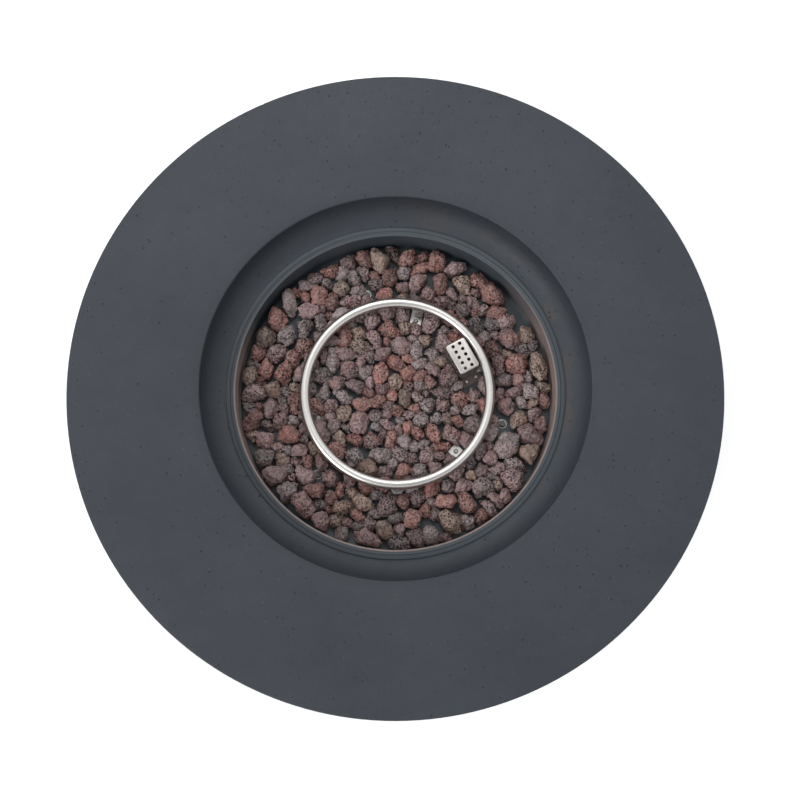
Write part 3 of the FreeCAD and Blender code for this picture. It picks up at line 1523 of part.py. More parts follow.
def rock_solid(rock, walls, draw):
    """A stone that stands on the pan floor on three corners, with a belt and an uneven crown."""
    height = min(2 * rock[2] * draw.uniform(*ROCK_FLATNESS), rock_room(rock))
    turn = draw.uniform(0, 360)
    rings = []
    for sides, spread, levels in (
        (FOOT_SIDES, FOOT_SPREAD, (0, 0)),
        (ROCK_SIDES, BELT_SPREAD, BELT_LEVELS),
        (CROWN_SIDES, CROWN_SPREAD, CROWN_LEVELS),
    ):
        rings.append(ring_of_corners(rock, walls, draw, sides, spread, levels, height, turn))
    foot, belt, crown = rings
    apex = Vector(rock[0], rock[1], floor_z + height)
    faces = [foot[::-1]]
    faces += [face[::-1] for face in strip(belt, foot)]
    faces += strip(belt, crown)
    faces += [[crown[k - 1], crown[k], apex] for k in range(CROWN_SIDES)]
    return solid_of_faces(faces)


def lava_rocks():
    """The bed of lava rock, as lists of stones by colour."""
    draw = random.Random(ROCK_SEED)
    patches = bed_fixtures()
    bed = settled_bed(draw, patches)
    beds = {colour: [] for colour in ROCK_COLOURS}
    for rock in bed:
        walls = rock_walls(rock, bed, patches)
        beds[rock[3]].append(rock_solid(rock, walls, draw))
    return beds


def write(name, shapes):
    """Save one sub-part, or a group of like solids, as its own file."""
    solids = shapes if isinstance(shapes, list) else [shapes]
    for solid in solids:
        if not solid.isValid() or len(solid.Solids) != 1:
            raise ValueError(f"{name} is not one closed solid")
    shape = Part.makeCompound([s.Solids[0] for s in solids]) if len(solids) > 1 else solids[0].Solids[0]
    shape.exportStep(f"parts/{name}.step")


SINGLE_PARTS = (
    concrete_bowl,
    foot_pads,
    burner_pan,
    ring_burner,
    feed_locknuts,
    ring_brackets,
    ring_bracket_screws,
    shield_screws,
    shield_washers,
    shield_spacers,
    shield_nuts,
    heat_shield,
    pilot_plate,
    pilot_screws,
    pilot_hood,
    pilot_jet,
    flame_probe,
    spark_electrode,
    spark_pin,
    air_mixer,
    orifice_fitting,
    burner_pipe,
    supply_pipe,
    pipe_nuts,
    gas_inlet,
    inlet_locknut,
    valve_body,
    valve_gland,
    magnet_unit,
    valve_plug,
    valve_stem,
    stem_spring,
    control_knob,
    knob_bezel,
    control_panel,
    panel_screws,
    igniter_body,
    igniter_battery,
    igniter_nut,
    igniter_button,
    button_spring,
    valve_screws,
    pilot_gas_tube,
    probe_lead,
    spark_lead,
)

for build in SINGLE_PARTS:
    write(build.__name__, build())
for colour, stones in lava_rocks().items():
    write(f"lava_rocks_{colour}", stones)
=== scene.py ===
"""The looks of the round gas fire pit table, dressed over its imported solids.

Lengths are in metres and angles in degrees. The origin is on the ground under the middle of
the bowl, +Z is up and the control niche faces -Y. Profiles are (radius, height) points.
"""

import contextlib
import logging
import math
import random
from collections.abc import Callable, Iterator, Sequence
from dataclasses import dataclass, field, fields
from enum import Enum
from typing import Any

import bmesh
import bpy
from mathutils import Matrix, Vector


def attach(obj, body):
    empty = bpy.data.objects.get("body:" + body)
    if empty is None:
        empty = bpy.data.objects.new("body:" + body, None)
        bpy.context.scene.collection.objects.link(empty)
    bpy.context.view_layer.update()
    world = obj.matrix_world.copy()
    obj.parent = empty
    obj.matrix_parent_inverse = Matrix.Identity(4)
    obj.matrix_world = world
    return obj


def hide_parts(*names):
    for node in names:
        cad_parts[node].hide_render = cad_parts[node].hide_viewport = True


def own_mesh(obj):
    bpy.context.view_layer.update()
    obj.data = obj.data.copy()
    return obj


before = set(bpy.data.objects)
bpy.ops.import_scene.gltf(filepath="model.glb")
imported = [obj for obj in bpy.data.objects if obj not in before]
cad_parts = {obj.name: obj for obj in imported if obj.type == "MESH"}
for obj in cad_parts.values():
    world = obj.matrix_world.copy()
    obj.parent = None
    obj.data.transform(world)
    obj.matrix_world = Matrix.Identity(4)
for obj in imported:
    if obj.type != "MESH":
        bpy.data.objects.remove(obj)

log = logging.getLogger("fire_pit_table")
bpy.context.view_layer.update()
MM = 0.001
HAIR = 0.1 * MM
QUARTER = math.radians(90)

LEDGE_Z = 382 * MM
PAN_FLOOR_Z = 325 * MM
BED_Z = PAN_FLOOR_Z + 0.2 * MM
CONTROL_Z = 190 * MM
KNOB_X = -38 * MM
BUTTON_X = 42 * MM
RING_X = 2.5 * MM
RING_RADIUS = 145.7 * MM

Piece = bpy.types.Object
Socket = bpy.types.NodeSocket
Test = Callable[[Any], bool]
Colour = tuple[float, float, float, float]
Point = tuple[float, float]
Place = tuple[float, float, float]


class Body(Enum):
    """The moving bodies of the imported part."""

    TABLE = "table"
    PLUG = "plug"
    KNOB = "knob"
    BUTTON = "button"


class Part(Enum):
    """What a selection in edit mode picks."""

    VERTICES = "VERT"
    EDGES = "EDGE"
    FACES = "FACE"


def rgb(red: float, green: float, blue: float) -> Colour:
    """A colour as a shader socket takes it."""
    return (red, green, blue, 1.0)


# Places


def polar(radius: float, degrees: float) -> Point:
    """The point at a distance and an angle from the origin."""
    turn = math.radians(degrees)
    return radius * math.cos(turn), radius * math.sin(turn)


def evenly(count: int) -> list[float]:
    """The angles of the middles of equal sectors of a circle."""
    return [360 * (k + 0.5) / count for k in range(count)]


def centred(count: int, pitch: float) -> list[float]:
    """Places in a row round zero."""
    return [(k - (count - 1) / 2) * pitch for k in range(count)]


def softened(corners: Sequence[Place], count: int = 4) -> list[Point]:
    """Rounds the corners of a closed outline.

    Args:
        corners: Points with the radius of their rounding, zero to keep one sharp.
        count: How many steps a rounding has.

    Returns:
        The outline's points.
    """
    points: list[Point] = []
    for k, (x, z, radius) in enumerate(corners):
        here = Vector((x, z))
        if radius == 0:
            points.append((x, z))
            continue
        before = (Vector(corners[k - 1][:2]) - here).normalized()
        after = (Vector(corners[(k + 1) % len(corners)][:2]) - here).normalized()
        half = before.angle(after) / 2
        centre = here + (before + after).normalized() * radius / math.sin(half)
        start = (here + before * radius / math.tan(half) - centre).normalized()
        end = (here + after * radius / math.tan(half) - centre).normalized()
        swing = [centre + radius * start.slerp(end, i / count) for i in range(count + 1)]
        points += [tuple(point) for point in swing]
    return points


def arc_through(start: Point, middle: Point, end: Point, count: int) -> list[Point]:
    """Points along the arc through three points, without its two ends.

    Args:
        start: The first point.
        middle: A point on the arc.
        end: The last point.
        count: How many steps the arc has.

    Returns:
        The points between the ends.
    """
    (ax, ay), (bx, by), (cx, cy) = start, middle, end
    d = 2 * (ax * (by - cy) + bx * (cy - ay) + cx * (ay - by))
    a, b, c = ax * ax + ay * ay, bx * bx + by * by, cx * cx + cy * cy
    x = (a * (by - cy) + b * (cy - ay) + c * (ay - by)) / d
    y = (a * (cx - bx) + b * (ax - cx) + c * (bx - ax)) / d
    centre = Vector((x, y))
    radius = (Vector(start) - centre).length
    first = (Vector(start) - centre).normalized()
    last = (Vector(end) - centre).normalized()
    return [tuple(centre + radius * first.slerp(last, i / count)) for i in range(1, count)]


# Modelling steps


def focus(*objects: Piece) -> None:
    """Selects only these objects and makes the first one active.

    Args:
        objects: The objects to select.
    """
    bpy.ops.object.select_all(action="DESELECT")
    for item in objects:
        item.select_set(True)
    bpy.context.view_layer.objects.active = objects[0]


@contextlib.contextmanager
def editing(piece: Piece) -> Iterator[None]:
    """Holds a piece in edit mode with nothing selected, then leaves edit mode.

    Args:
        piece: The mesh object to edit.
    """
    focus(piece)
    bpy.ops.object.mode_set(mode="EDIT")
    bpy.ops.mesh.select_mode(type=Part.VERTICES.value)
    bpy.ops.mesh.select_all(action="DESELECT")
    yield
    bpy.ops.object.mode_set(mode="OBJECT")


@contextlib.contextmanager
def opened(piece: Piece) -> Iterator[bmesh.types.BMesh]:
    """Lends a piece's mesh for changes in code, then writes it back.

    Args:
        piece: The mesh object.
    """
    mesh = bmesh.new()
    mesh.from_mesh(piece.data)
    yield mesh
    mesh.to_mesh(piece.data)
    mesh.free()


def pick(piece: Piece, kind: Part, test: Test) -> None:
    """Selects what passes a test on a piece that is in edit mode.

    Args:
        piece: The mesh object, in edit mode.
        kind: Vertices, edges or faces.
        test: Takes one mesh element and says whether it is selected.
    """
    bpy.ops.mesh.select_mode(type=kind.value)
    bpy.ops.mesh.select_all(action="DESELECT")
    mesh = bmesh.from_edit_mesh(piece.data)
    items = {Part.VERTICES: mesh.verts, Part.EDGES: mesh.edges, Part.FACES: mesh.faces}[kind]
    for item in [item for item in items if test(item)]:
        item.select_set(True)
    mesh.select_flush_mode()
    bmesh.update_edit_mesh(piece.data)


def along(axis: int) -> Test:
    """A test that edges pass which run along an axis."""
    return lambda edge: abs(edge.verts[0].co[axis] - edge.verts[1].co[axis]) > MM


def above(z: float) -> Test:
    """A test that edges pass which lie above a height."""
    return lambda edge: all(vertex.co.z > z for vertex in edge.verts)


def bevelled(piece: Piece, test: Test, offset: float, segments: int) -> None:
    """Rounds the edges that pass a test.

    Args:
        piece: The mesh object.
        test: Takes one edge and says whether it is rounded.
        offset: How far from the edge the rounding starts.
        segments: How many flat strips the rounding has.
    """
    with editing(piece):
        pick(piece, Part.EDGES, test)
        bpy.ops.mesh.bevel(offset=offset, segments=segments, affect="EDGES")


def edit_all(piece: Piece, *steps: tuple[Callable[..., Any], dict[str, Any]]) -> None:
    """Runs edit mode operators in turn, each on the whole of a piece.

    Args:
        piece: The mesh object.
        steps: The operators, each with what it takes.
    """
    with editing(piece):
        for step, settings in steps:
            bpy.ops.mesh.select_all(action="SELECT")
            step(**settings)


def modify(piece: Piece, kind: str, **settings: Any) -> None:
    """Adds a modifier, sets it and applies it.

    Args:
        piece: The mesh object.
        kind: Blender's name of the modifier type.
        settings: The modifier's properties.
    """
    focus(piece)
    bpy.ops.object.modifier_add(type=kind)
    modifier = piece.modifiers[-1]
    for key, value in settings.items():
        setattr(modifier, key, value)
    bpy.ops.object.modifier_apply(modifier=modifier.name)


def settle(piece: Piece) -> Piece:
    """Moves a piece's place, turn and scale into its mesh."""
    focus(piece)
    bpy.ops.object.transform_apply(location=True, rotation=True, scale=True)
    return piece


def swung(piece: Piece, degrees: float) -> Piece:
    """Turns a piece round the Z axis."""
    piece.rotation_euler.z = math.radians(degrees)
    return settle(piece)


def twin(source: Piece) -> Piece:
    """A copy of a piece, with its own mesh, in the scene.

    Args:
        source: The piece to copy.

    Returns:
        The new object.
    """
    made = source.copy()
    made.data = source.data.copy()
    bpy.context.scene.collection.objects.link(made)
    return made


def ringed(first: Piece, angles: Sequence[float]) -> list[Piece]:
    """Copies a piece to several turns round the Z axis and removes the first one.

    Args:
        first: The piece to copy.
        angles: The turns in degrees.

    Returns:
        The copies.
    """
    made = [swung(twin(first), angle) for angle in angles]
    bpy.data.objects.remove(first)
    return made


def dealt(first: Piece, places: Sequence[Place]) -> list[Piece]:
    """Copies a piece to several places and removes the first one.

    Args:
        first: The piece to copy.
        places: How far each copy is moved.

    Returns:
        The copies.
    """
    made = [twin(first) for _ in places]
    for piece, place in zip(made, places):
        piece.location = place
        settle(piece)
    bpy.data.objects.remove(first)
    return made


def roughened(piece: Piece, draw: random.Random, step: float) -> Piece:
    """Moves every vertex by up to a step along each axis.

    Args:
        piece: The piece.
        draw: Where the random values come from.
        step: The longest move along one axis.

    Returns:
        The same piece.
    """
    for vertex in piece.data.vertices:
        vertex.co += Vector([draw.uniform(-step, step) for _ in range(3)])
    return piece


def block(low: Sequence[float], high: Sequence[float]) -> Piece:
    """A block between its lowest and its highest corner, as a start or a cutter.

    Args:
        low: The lowest corner.
        high: The highest corner.

    Returns:
        The new object.
    """
    middle = [(a + b) / 2 for a, b in zip(low, high)]
    size = [b - a for a, b in zip(low, high)]
    bpy.ops.mesh.primitive_cube_add(size=1, location=middle, scale=size)
    return settle(bpy.context.object)


def rod(radius: float, start: Sequence[float], end: Sequence[float], sides: int = 48) -> Piece:
    """A round rod between two points, as a start or a cutter.

    Args:
        radius: Its radius.
        start: The middle of one end.
        end: The middle of the other end.
        sides: How many flat sides the round has.

    Returns:
        The new object.
    """
    run = Vector(end) - Vector(start)
    middle = (Vector(end) + Vector(start)) / 2
    turn = run.to_track_quat("Z", "Y").to_euler()
    bpy.ops.mesh.primitive_cylinder_add(
        vertices=sides, radius=radius, depth=run.length, location=middle, rotation=turn
    )
    return settle(bpy.context.object)


def hoop(radius: float, tube: float, centre: Sequence[float], steps: int, sides: int) -> Piece:
    """A tube bent into a flat ring, as a start.

    Args:
        radius: The radius to the middle of the tube.
        tube: The tube's own radius.
        centre: The middle of the ring.
        steps: How many steps the ring has.
        sides: How many flat sides the tube has.

    Returns:
        The new object.
    """
    bpy.ops.mesh.primitive_torus_add(
        location=centre,
        major_segments=steps,
        minor_segments=sides,
        major_radius=radius,
        minor_radius=tube,
    )
    return settle(bpy.context.object)


def turned(points: Sequence[Point], steps: int, closed: bool = True) -> Piece:
    """Turns a profile once round the Z axis.

    Args:
        points: The profile, extruded point by point from one vertex.
        steps: How many steps the full turn has.
        closed: Whether the profile comes back to its first point. One that starts and ends
            on the axis doesn't.

    Returns:
        The new object.
    """
    x, z = points[0]
    doubles = 0.004 * MM
    bpy.ops.mesh.primitive_plane_add(size=MM, location=(0, 0, 0))
    piece = bpy.context.object
    with editing(piece):
        bpy.ops.mesh.select_all(action="SELECT")
        bpy.ops.mesh.merge(type="CENTER")
        bpy.ops.transform.translate(value=(x, 0, z))
        for nx, nz in list(points[1:]) + ([points[0]] if closed else []):
            move = {"value": (nx - x, 0, nz - z)}
            bpy.ops.mesh.extrude_region_move(TRANSFORM_OT_translate=move)
            x, z = nx, nz
        bpy.ops.mesh.select_all(action="SELECT")
        bpy.ops.mesh.remove_doubles(threshold=doubles)
        bpy.ops.mesh.spin(
            steps=steps, angle=math.tau, center=(0, 0, 0), axis=(0, 0, 1), dupli=False
        )
        bpy.ops.mesh.select_all(action="SELECT")
        bpy.ops.mesh.remove_doubles(threshold=doubles)
        bpy.ops.mesh.normals_make_consistent(inside=False)
    return piece


def joined(pieces: Sequence[Piece]) -> Piece:
    """Joins several objects into the first one.

    Args:
        pieces: The objects. The first one stays, and the others go into it.

    Returns:
        The first object.
    """
    focus(*pieces)
    if len(pieces) > 1:
        bpy.ops.object.join()
    return bpy.context.object


def carve(piece: Piece, tools: Sequence[Piece], operation: str = "DIFFERENCE") -> None:
    """Cuts tools out of a piece, or adds them to it, and removes them.

    Args:
        piece: The object that is changed.
        tools: Objects that don't touch each other.
        operation: DIFFERENCE, UNION or INTERSECT.
    """
    tool = joined(tools)
    modify(piece, "BOOLEAN", operation=operation, solver="EXACT", object=tool)
    bpy.data.objects.remove(tool)


def smooth(piece: Piece, angle: float = 35.0) -> None:
    """Shades a piece smooth, with creases kept above an angle."""
    focus(piece)
    bpy.ops.object.shade_smooth_by_angle(angle=math.radians(angle))


def finished(
    piece: Piece,
    name: str,
    finish: "Finish",
    replaces: Sequence[str] = (),
    body: Body = Body.TABLE,
) -> Piece:
    """Names a piece, gives it its finish and lets it ride on its body.

    Args:
        piece: The finished mesh.
        name: The piece's name.
        finish: What it is made of.
        replaces: The CAD nodes that it stands for.
        body: The body that it moves with.

    Returns:
        The piece.
    """
    settle(piece)
    piece.name = name
    piece.data.name = name
    piece.data.materials.clear()
    piece.data.materials.append(finish.material())
    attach(piece, body.value)
    if replaces:
        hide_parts(*replaces)
    log.info("%s: %d faces, stands for %s", name, len(piece.data.polygons), list(replaces))
    return piece


# Finishes


class Wiring:
    """Adds and joins the nodes of one material or one node group."""

    def __init__(self, tree: bpy.types.NodeTree) -> None:
        """Keeps the tree that is wired."""
        self.tree = tree

    def feed(self, socket: Socket, value: Any) -> None:
        """Links a socket to another one, or sets its value.

        Args:
            socket: The input.
            value: A socket or a plain value.
        """
        if isinstance(value, Socket):
            self.tree.links.new(value, socket)
        else:
            socket.default_value = value

    def node(self, kind: str, inputs: dict[Any, Any] | None = None, **settings: Any) -> Any:
        """Adds a node.

        Args:
            kind: Its type.
            inputs: Values or sockets by input name or number.
            settings: Its other properties.

        Returns:
            The node's outputs.
        """
        made = self.tree.nodes.new(kind)
        for key, value in settings.items():
            setattr(made, key, value)
        for key, value in (inputs or {}).items():
            self.feed(made.inputs[key], value)
        return made.outputs

    def place(self) -> Socket:
        """The point of the surface in object coordinates."""
        return self.node("ShaderNodeTexCoord")["Object"]

    def sum(self, operation: str, a: Any, b: Any = 0.0) -> Socket:
        """One step of arithmetic."""
        return self.node("ShaderNodeMath", {0: a, 1: b}, operation=operation)[0]

    def times(self, a: Any, b: Any) -> Socket:
        """One value times another."""
        return self.sum("MULTIPLY", a, b)

    def most(self, a: Any, b: Any) -> Socket:
        """The greater of two values."""
        return self.sum("MAXIMUM", a, b)

    def vector(self, operation: str, a: Any, b: Any = None) -> Any:
        """The outputs of one step of arithmetic with vectors."""
        inputs = {0: a} if b is None else {0: a, 1: b}
        return self.node("ShaderNodeVectorMath", inputs, operation=operation)

    def span(self, value: Any, low: Any, high: Any, to_low: Any = 0.0, to_high: Any = 1.0) -> Socket:
        """Maps a value from one span to another, held at the ends."""
        inputs = {0: value, 1: low, 2: high, 3: to_low, 4: to_high}
        return self.node("ShaderNodeMapRange", inputs)[0]

    def blend(self, share: Any, a: Any, b: Any) -> Socket:
        """Mixes two colours by a share."""
        return self.node("ShaderNodeMix", {0: share, 6: a, 7: b}, data_type="RGBA")[2]

    def layer(self, under: Any, over: Any, share: Any, *more: Any) -> Socket:
        """Lays one colour over another by the product of all the shares."""
        for other in more:
            share = self.times(share, other)
        return self.blend(share, under, over)

    def cells(self, given: Any) -> tuple[Socket, Any]:
        """The distance to the nearest cell's middle, and three random values of that cell."""
        inputs = {"Vector": given["Vector"], "Scale": given["Scale"]}
        made = self.node("ShaderNodeTexVoronoi", inputs)
        return made["Distance"], self.node("ShaderNodeSeparateColor", {0: made["Color"]})

    def noise(self, vector: Any, scale: Any, detail: float = 3.0) -> Socket:
        """Plain noise around one half."""
        inputs = {"Vector": vector, "Scale": scale, "Detail": detail}
        return self.node("ShaderNodeTexNoise", inputs)[0]

    def bump(self, height: Any, distance: float, normal: Any = None) -> Socket:
        """Turns a height into a normal, over an earlier normal if there is one.

        Args:
            height: The height.
            distance: How deep a full step is.
            normal: The earlier normal.

        Returns:
            The normal.
        """
        inputs = {"Height": height, "Distance": distance, "Strength": 1.0}
        if normal is not None:
            inputs["Normal"] = normal
        return self.node("ShaderNodeBump", inputs)[0]

    def dents(self, mask: Any, depth: float, normal: Any) -> Socket:
        """A normal that sinks where a mask is one."""
        return self.bump(self.sum("SUBTRACT", 1.0, mask), depth, normal)

    def effect(self, group: "Effect", at: Any, **inputs: Any) -> Any:
        """The outputs of one of the shared effects, with its inputs by name."""
        named = {key.capitalize(): value for key, value in inputs.items()}
        return self.node("ShaderNodeGroup", {"Vector": at, **named}, node_tree=group.tree())

    def spots(self, at: Any, **inputs: Any) -> Socket:
        """The mask of the effect Spots."""
        return self.effect(SPOTS, at, **inputs)[0]

    def clouds(self, at: Any, **inputs: Any) -> Socket:
        """The value of the effect Mottle."""
        return self.effect(MOTTLE, at, **inputs)[0]

    def band(self, at: Any, **inputs: Any) -> Any:
        """The mask of the effect Band, and how far the surface lies to its side."""
        return self.effect(BAND, at, **inputs)


def emptied(owner: bpy.types.Material | bpy.types.World) -> Wiring:
    """The wiring of a material or a world, with no node in it yet."""
    owner.use_nodes = True
    owner.node_tree.nodes.clear()
    return Wiring(owner.node_tree)


@dataclass(frozen=True)
class Effect:
    """A shared node group. Its wiring is in wire()."""

    title: str
    takes: tuple[str, ...]
    gives: tuple[str, ...]

    def tree(self) -> bpy.types.NodeTree:
        """The group's tree, made the first time that it is asked for.

        Returns:
            The node group.
        """
        known = bpy.data.node_groups.get(self.title)
        if known:
            return known
        made = bpy.data.node_groups.new(self.title, "ShaderNodeTree")
        for way, names in (("INPUT", self.takes), ("OUTPUT", self.gives)):
            for name in names:
                kind = "Vector" if name in ("Vector", "Stretch", "Side") else "Float"
                made.interface.new_socket(name, in_out=way, socket_type=f"NodeSocket{kind}")
        entry = made.nodes.new("NodeGroupInput")
        leave = made.nodes.new("NodeGroupOutput")
        wiring = Wiring(made)
        for name, socket in self.wire(wiring, entry.outputs).items():
            wiring.feed(leave.inputs[name], socket)
        return made

    def wire(self, w: Wiring, given: Any) -> dict[str, Socket]:
        """Makes the group's nodes.

        Args:
            w: The wiring of the group's tree.
            given: The group's inputs by name.

        Returns:
            A socket for each output's name.
        """
        raise NotImplementedError


@dataclass(frozen=True)
class Spots(Effect):
    """Round spots of mixed sizes, for pinholes and specks."""

    title: str = "Spots"
    takes: tuple[str, ...] = ("Vector", "Scale", "Radius", "Share")
    gives: tuple[str, ...] = ("Mask",)

    def wire(self, w: Wiring, given: Any) -> dict[str, Socket]:
        """A share of the cells holds a spot, each with its own radius."""
        distance, draw = w.cells(given)
        radius = w.times(given["Radius"], w.span(draw[1], 0, 1, 0.35, 1.0))
        spot = w.span(distance, radius, w.times(radius, 0.55))
        return {"Mask": w.times(spot, w.sum("LESS_THAN", draw[0], given["Share"]))}


@dataclass(frozen=True)
class Pores(Effect):
    """Bubbles cut open at a surface, with pale rims between them."""

    title: str = "Pores"
    takes: tuple[str, ...] = ("Vector", "Scale")
    gives: tuple[str, ...] = ("Mask", "Rim")

    def wire(self, w: Wiring, given: Any) -> dict[str, Socket]:
        """Each cell holds a bubble of its own size, and rims stand where cells meet."""
        distance, draw = w.cells(given)
        radius = w.span(draw[0], 0, 1, 0.22, 0.6)
        mask = w.span(distance, radius, w.times(radius, 0.6))
        return {"Mask": mask, "Rim": w.span(distance, 0.48, 0.74)}


@dataclass(frozen=True)
class Mottle(Effect):
    """Cloudy variation in two scales at once."""

    title: str = "Mottle"
    takes: tuple[str, ...] = ("Vector", "Scale", "Low", "High")
    gives: tuple[str, ...] = ("Value",)

    def wire(self, w: Wiring, given: Any) -> dict[str, Socket]:
        """Adds a coarse and a fine noise and spreads the sum."""
        coarse = w.noise(given["Vector"], given["Scale"], 5.0)
        fine = w.noise(given["Vector"], w.times(given["Scale"], 6.3))
        both = w.sum("ADD", w.times(coarse, 0.7), w.times(fine, 0.3))
        return {"Value": w.span(both, given["Low"], given["High"])}


@dataclass(frozen=True)
class Brushing(Effect):
    """Fine parallel scratches along one direction."""

    title: str = "Brushing"
    takes: tuple[str, ...] = ("Vector", "Stretch", "Scale")
    gives: tuple[str, ...] = ("Value",)

    def wire(self, w: Wiring, given: Any) -> dict[str, Socket]:
        """Noise that is squeezed across the scratches."""
        drawn = w.vector("MULTIPLY", given["Vector"], given["Stretch"])[0]
        return {"Value": w.noise(drawn, given["Scale"], 4.0)}


@dataclass(frozen=True)
class Band(Effect):
    """A band between two distances from the Z axis, with one side stronger than the other."""

    title: str = "Band"
    takes: tuple[str, ...] = ("Vector", "Inner", "Outer", "Blur", "Side")
    gives: tuple[str, ...] = ("Mask", "Facing")

    def wire(self, w: Wiring, given: Any) -> dict[str, Socket]:
        """Measures the distance from the axis and the turn towards a side."""
        flat = w.vector("MULTIPLY", given["Vector"], (1, 1, 0))[0]
        length = w.vector("LENGTH", flat)["Value"]
        unit = w.vector("NORMALIZE", flat)[0]
        rise = w.span(length, w.sum("SUBTRACT", given["Inner"], given["Blur"]), given["Inner"])
        fall = w.span(length, w.sum("ADD", given["Outer"], given["Blur"]), given["Outer"])
        facing = w.vector("DOT_PRODUCT", unit, given["Side"])["Value"]
        return {"Mask": w.times(rise, fall), "Facing": facing}


SPOTS, PORES, MOTTLE, BRUSHING, BAND = Spots(), Pores(), Mottle(), Brushing(), Band()


@dataclass(frozen=True)
class Finish:
    """One finish. Its nodes are made in dress()."""

    title: str

    def material(self) -> bpy.types.Material:
        """The finish's material, made the first time that it is asked for.

        Returns:
            The material.
        """
        known = bpy.data.materials.get(self.title)
        if known:
            return known
        made = bpy.data.materials.new(self.title)
        w = emptied(made)
        surface = made.node_tree.nodes.new("ShaderNodeBsdfPrincipled")
        w.node("ShaderNodeOutputMaterial", {"Surface": surface.outputs[0]})
        for name, value in self.dress(w).items():
            w.feed(surface.inputs[name], value)
        return made

    def dress(self, w: Wiring) -> dict[str, Any]:
        """Makes the finish's nodes.

        Args:
            w: The wiring of the material's tree.

        Returns:
            A value or socket for each input of the surface that isn't left as it is.
        """
        raise NotImplementedError


@dataclass(frozen=True)
class CastConcrete(Finish):
    """Dark slate concrete with light specks, brown smudges, a rust stain in the cove, pinholes painted
    dark as painted shade, and painted shade on the cove's top edge.
    """

    title: str = "cast concrete"
    base: Colour = rgb(0.033, 0.040, 0.051)
    pale: Colour = rgb(0.053, 0.062, 0.076)
    # Painted shade on the cove's top edge.
    soot: Colour = rgb(0.024, 0.030, 0.037)
    brown: Colour = rgb(0.090, 0.072, 0.058)
    rust: Colour = rgb(0.110, 0.065, 0.042)
    speck: Colour = rgb(0.210, 0.220, 0.225)
    # Painted shade inside the pinholes.
    hole: Colour = rgb(0.012, 0.014, 0.018)

    def dress(self, w: Wiring) -> dict[str, Any]:
        """Mottled colour, three sizes of pinhole painted dark as painted shade, specks, a rust stain
        in the cove and painted shade on its top edge.
        """
        at = w.place()
        clouds = w.clouds(at, scale=7.0, low=0.35, high=0.65)
        grain = w.clouds(at, scale=160.0, low=0.3, high=0.7)
        tone = w.sum("ADD", w.times(clouds, 0.55), w.times(grain, 0.45))
        colour = w.blend(tone, self.base, self.pale)
        smudge = w.clouds(at, scale=4.3, low=0.55, high=0.72)
        colour = w.layer(colour, self.brown, smudge, 0.14)
        patch = w.clouds(at, scale=16.0, low=0.5, high=0.66)
        cove, facing = w.band(at, inner=0.268, outer=0.292, blur=0.012, side=(0.95, 0.3, 0))
        colour = w.layer(colour, self.rust, cove, patch, w.span(facing, 0.0, 0.95, 0.05, 0.5))
        # Painted shade: the cove's top edge is darkened all round, more on the left side.
        lip, facing = w.band(at, inner=0.286, outer=0.2968, blur=0.018, side=(-1, 0, 0))
        colour = w.layer(colour, self.soot, lip, w.span(facing, -1, 1, 0.3, 0.5))
        specks = w.spots(at, scale=210.0, radius=0.2, share=0.05)
        colour = w.layer(colour, self.speck, specks, 0.6)
        # Painted shade: the pinholes are laid in near black, over shallow dents.
        holes = w.spots(at, scale=120.0, radius=0.22, share=0.34)
        large = w.spots(at, scale=52.0, radius=0.12, share=0.3)
        fine = w.spots(at, scale=300.0, radius=0.26, share=0.3)
        pits = w.most(w.most(holes, large), w.times(fine, 0.6))
        colour = w.layer(colour, self.hole, pits, 0.95)
        return {
            "Base Color": colour,
            "Roughness": w.span(grain, 0, 1, 0.5, 0.66),
            "Specular IOR Level": 0.42,
            "Normal": w.dents(pits, 0.7 * MM, w.bump(grain, 0.12 * MM, w.bump(clouds, 0.3 * MM))),
        }


@dataclass(frozen=True)
class LavaStone(Finish):
    """Porous lava stone of one colour family.

    The mesh says how pale, how red and how porous each stone is.
    """

    dark: Colour
    light: Colour
    tint: Colour
    dust: Colour = rgb(0.42, 0.38, 0.37)
    # Painted shade inside the pores.
    hole: Colour = rgb(0.014, 0.012, 0.012)

    def dress(self, w: Wiring) -> dict[str, Any]:
        """Each stone has its own tone and openness, with pores in two sizes painted dark as painted
        shade, and pale rims.
        """
        at = w.place()
        stone = w.node("ShaderNodeAttribute", attribute_name="stone")["Color"]
        paleness, redness, openness = w.node("ShaderNodeSeparateColor", {0: stone})
        clouds = w.clouds(at, scale=70.0, low=0.34, high=0.66)
        grain = w.clouds(at, scale=420.0, low=0.36, high=0.64)
        tone = w.sum("ADD", w.times(paleness, 0.6), w.times(clouds, 0.2))
        tone = w.sum("ADD", tone, w.times(grain, 0.38))
        colour = w.blend(w.span(tone, 0.1, 1.05), self.dark, self.light)
        patch = w.clouds(at, scale=38.0, low=0.45, high=0.62)
        colour = w.layer(colour, self.tint, patch, w.span(redness, 0.2, 1.0, 0.0, 0.85))
        coarse = w.effect(PORES, at, scale=250.0)
        fine = w.effect(PORES, at, scale=520.0)
        rims = w.most(coarse["Rim"], w.times(fine["Rim"], 0.8))
        colour = w.layer(colour, self.dust, rims, 0.55)
        # Painted shade: the pores are laid in near black, over shallow dents.
        pores = w.most(coarse["Mask"], w.times(fine["Mask"], 0.85))
        pores = w.times(pores, w.span(openness, 0.0, 1.0, 0.45, 1.0))
        colour = w.layer(colour, self.hole, pores, 0.92)
        return {
            "Base Color": colour,
            "Roughness": 0.93,
            "Specular IOR Level": 0.25,
            "Normal": w.dents(pores, 1.1 * MM, w.bump(grain, 0.5 * MM, w.bump(clouds, 1.0 * MM))),
        }


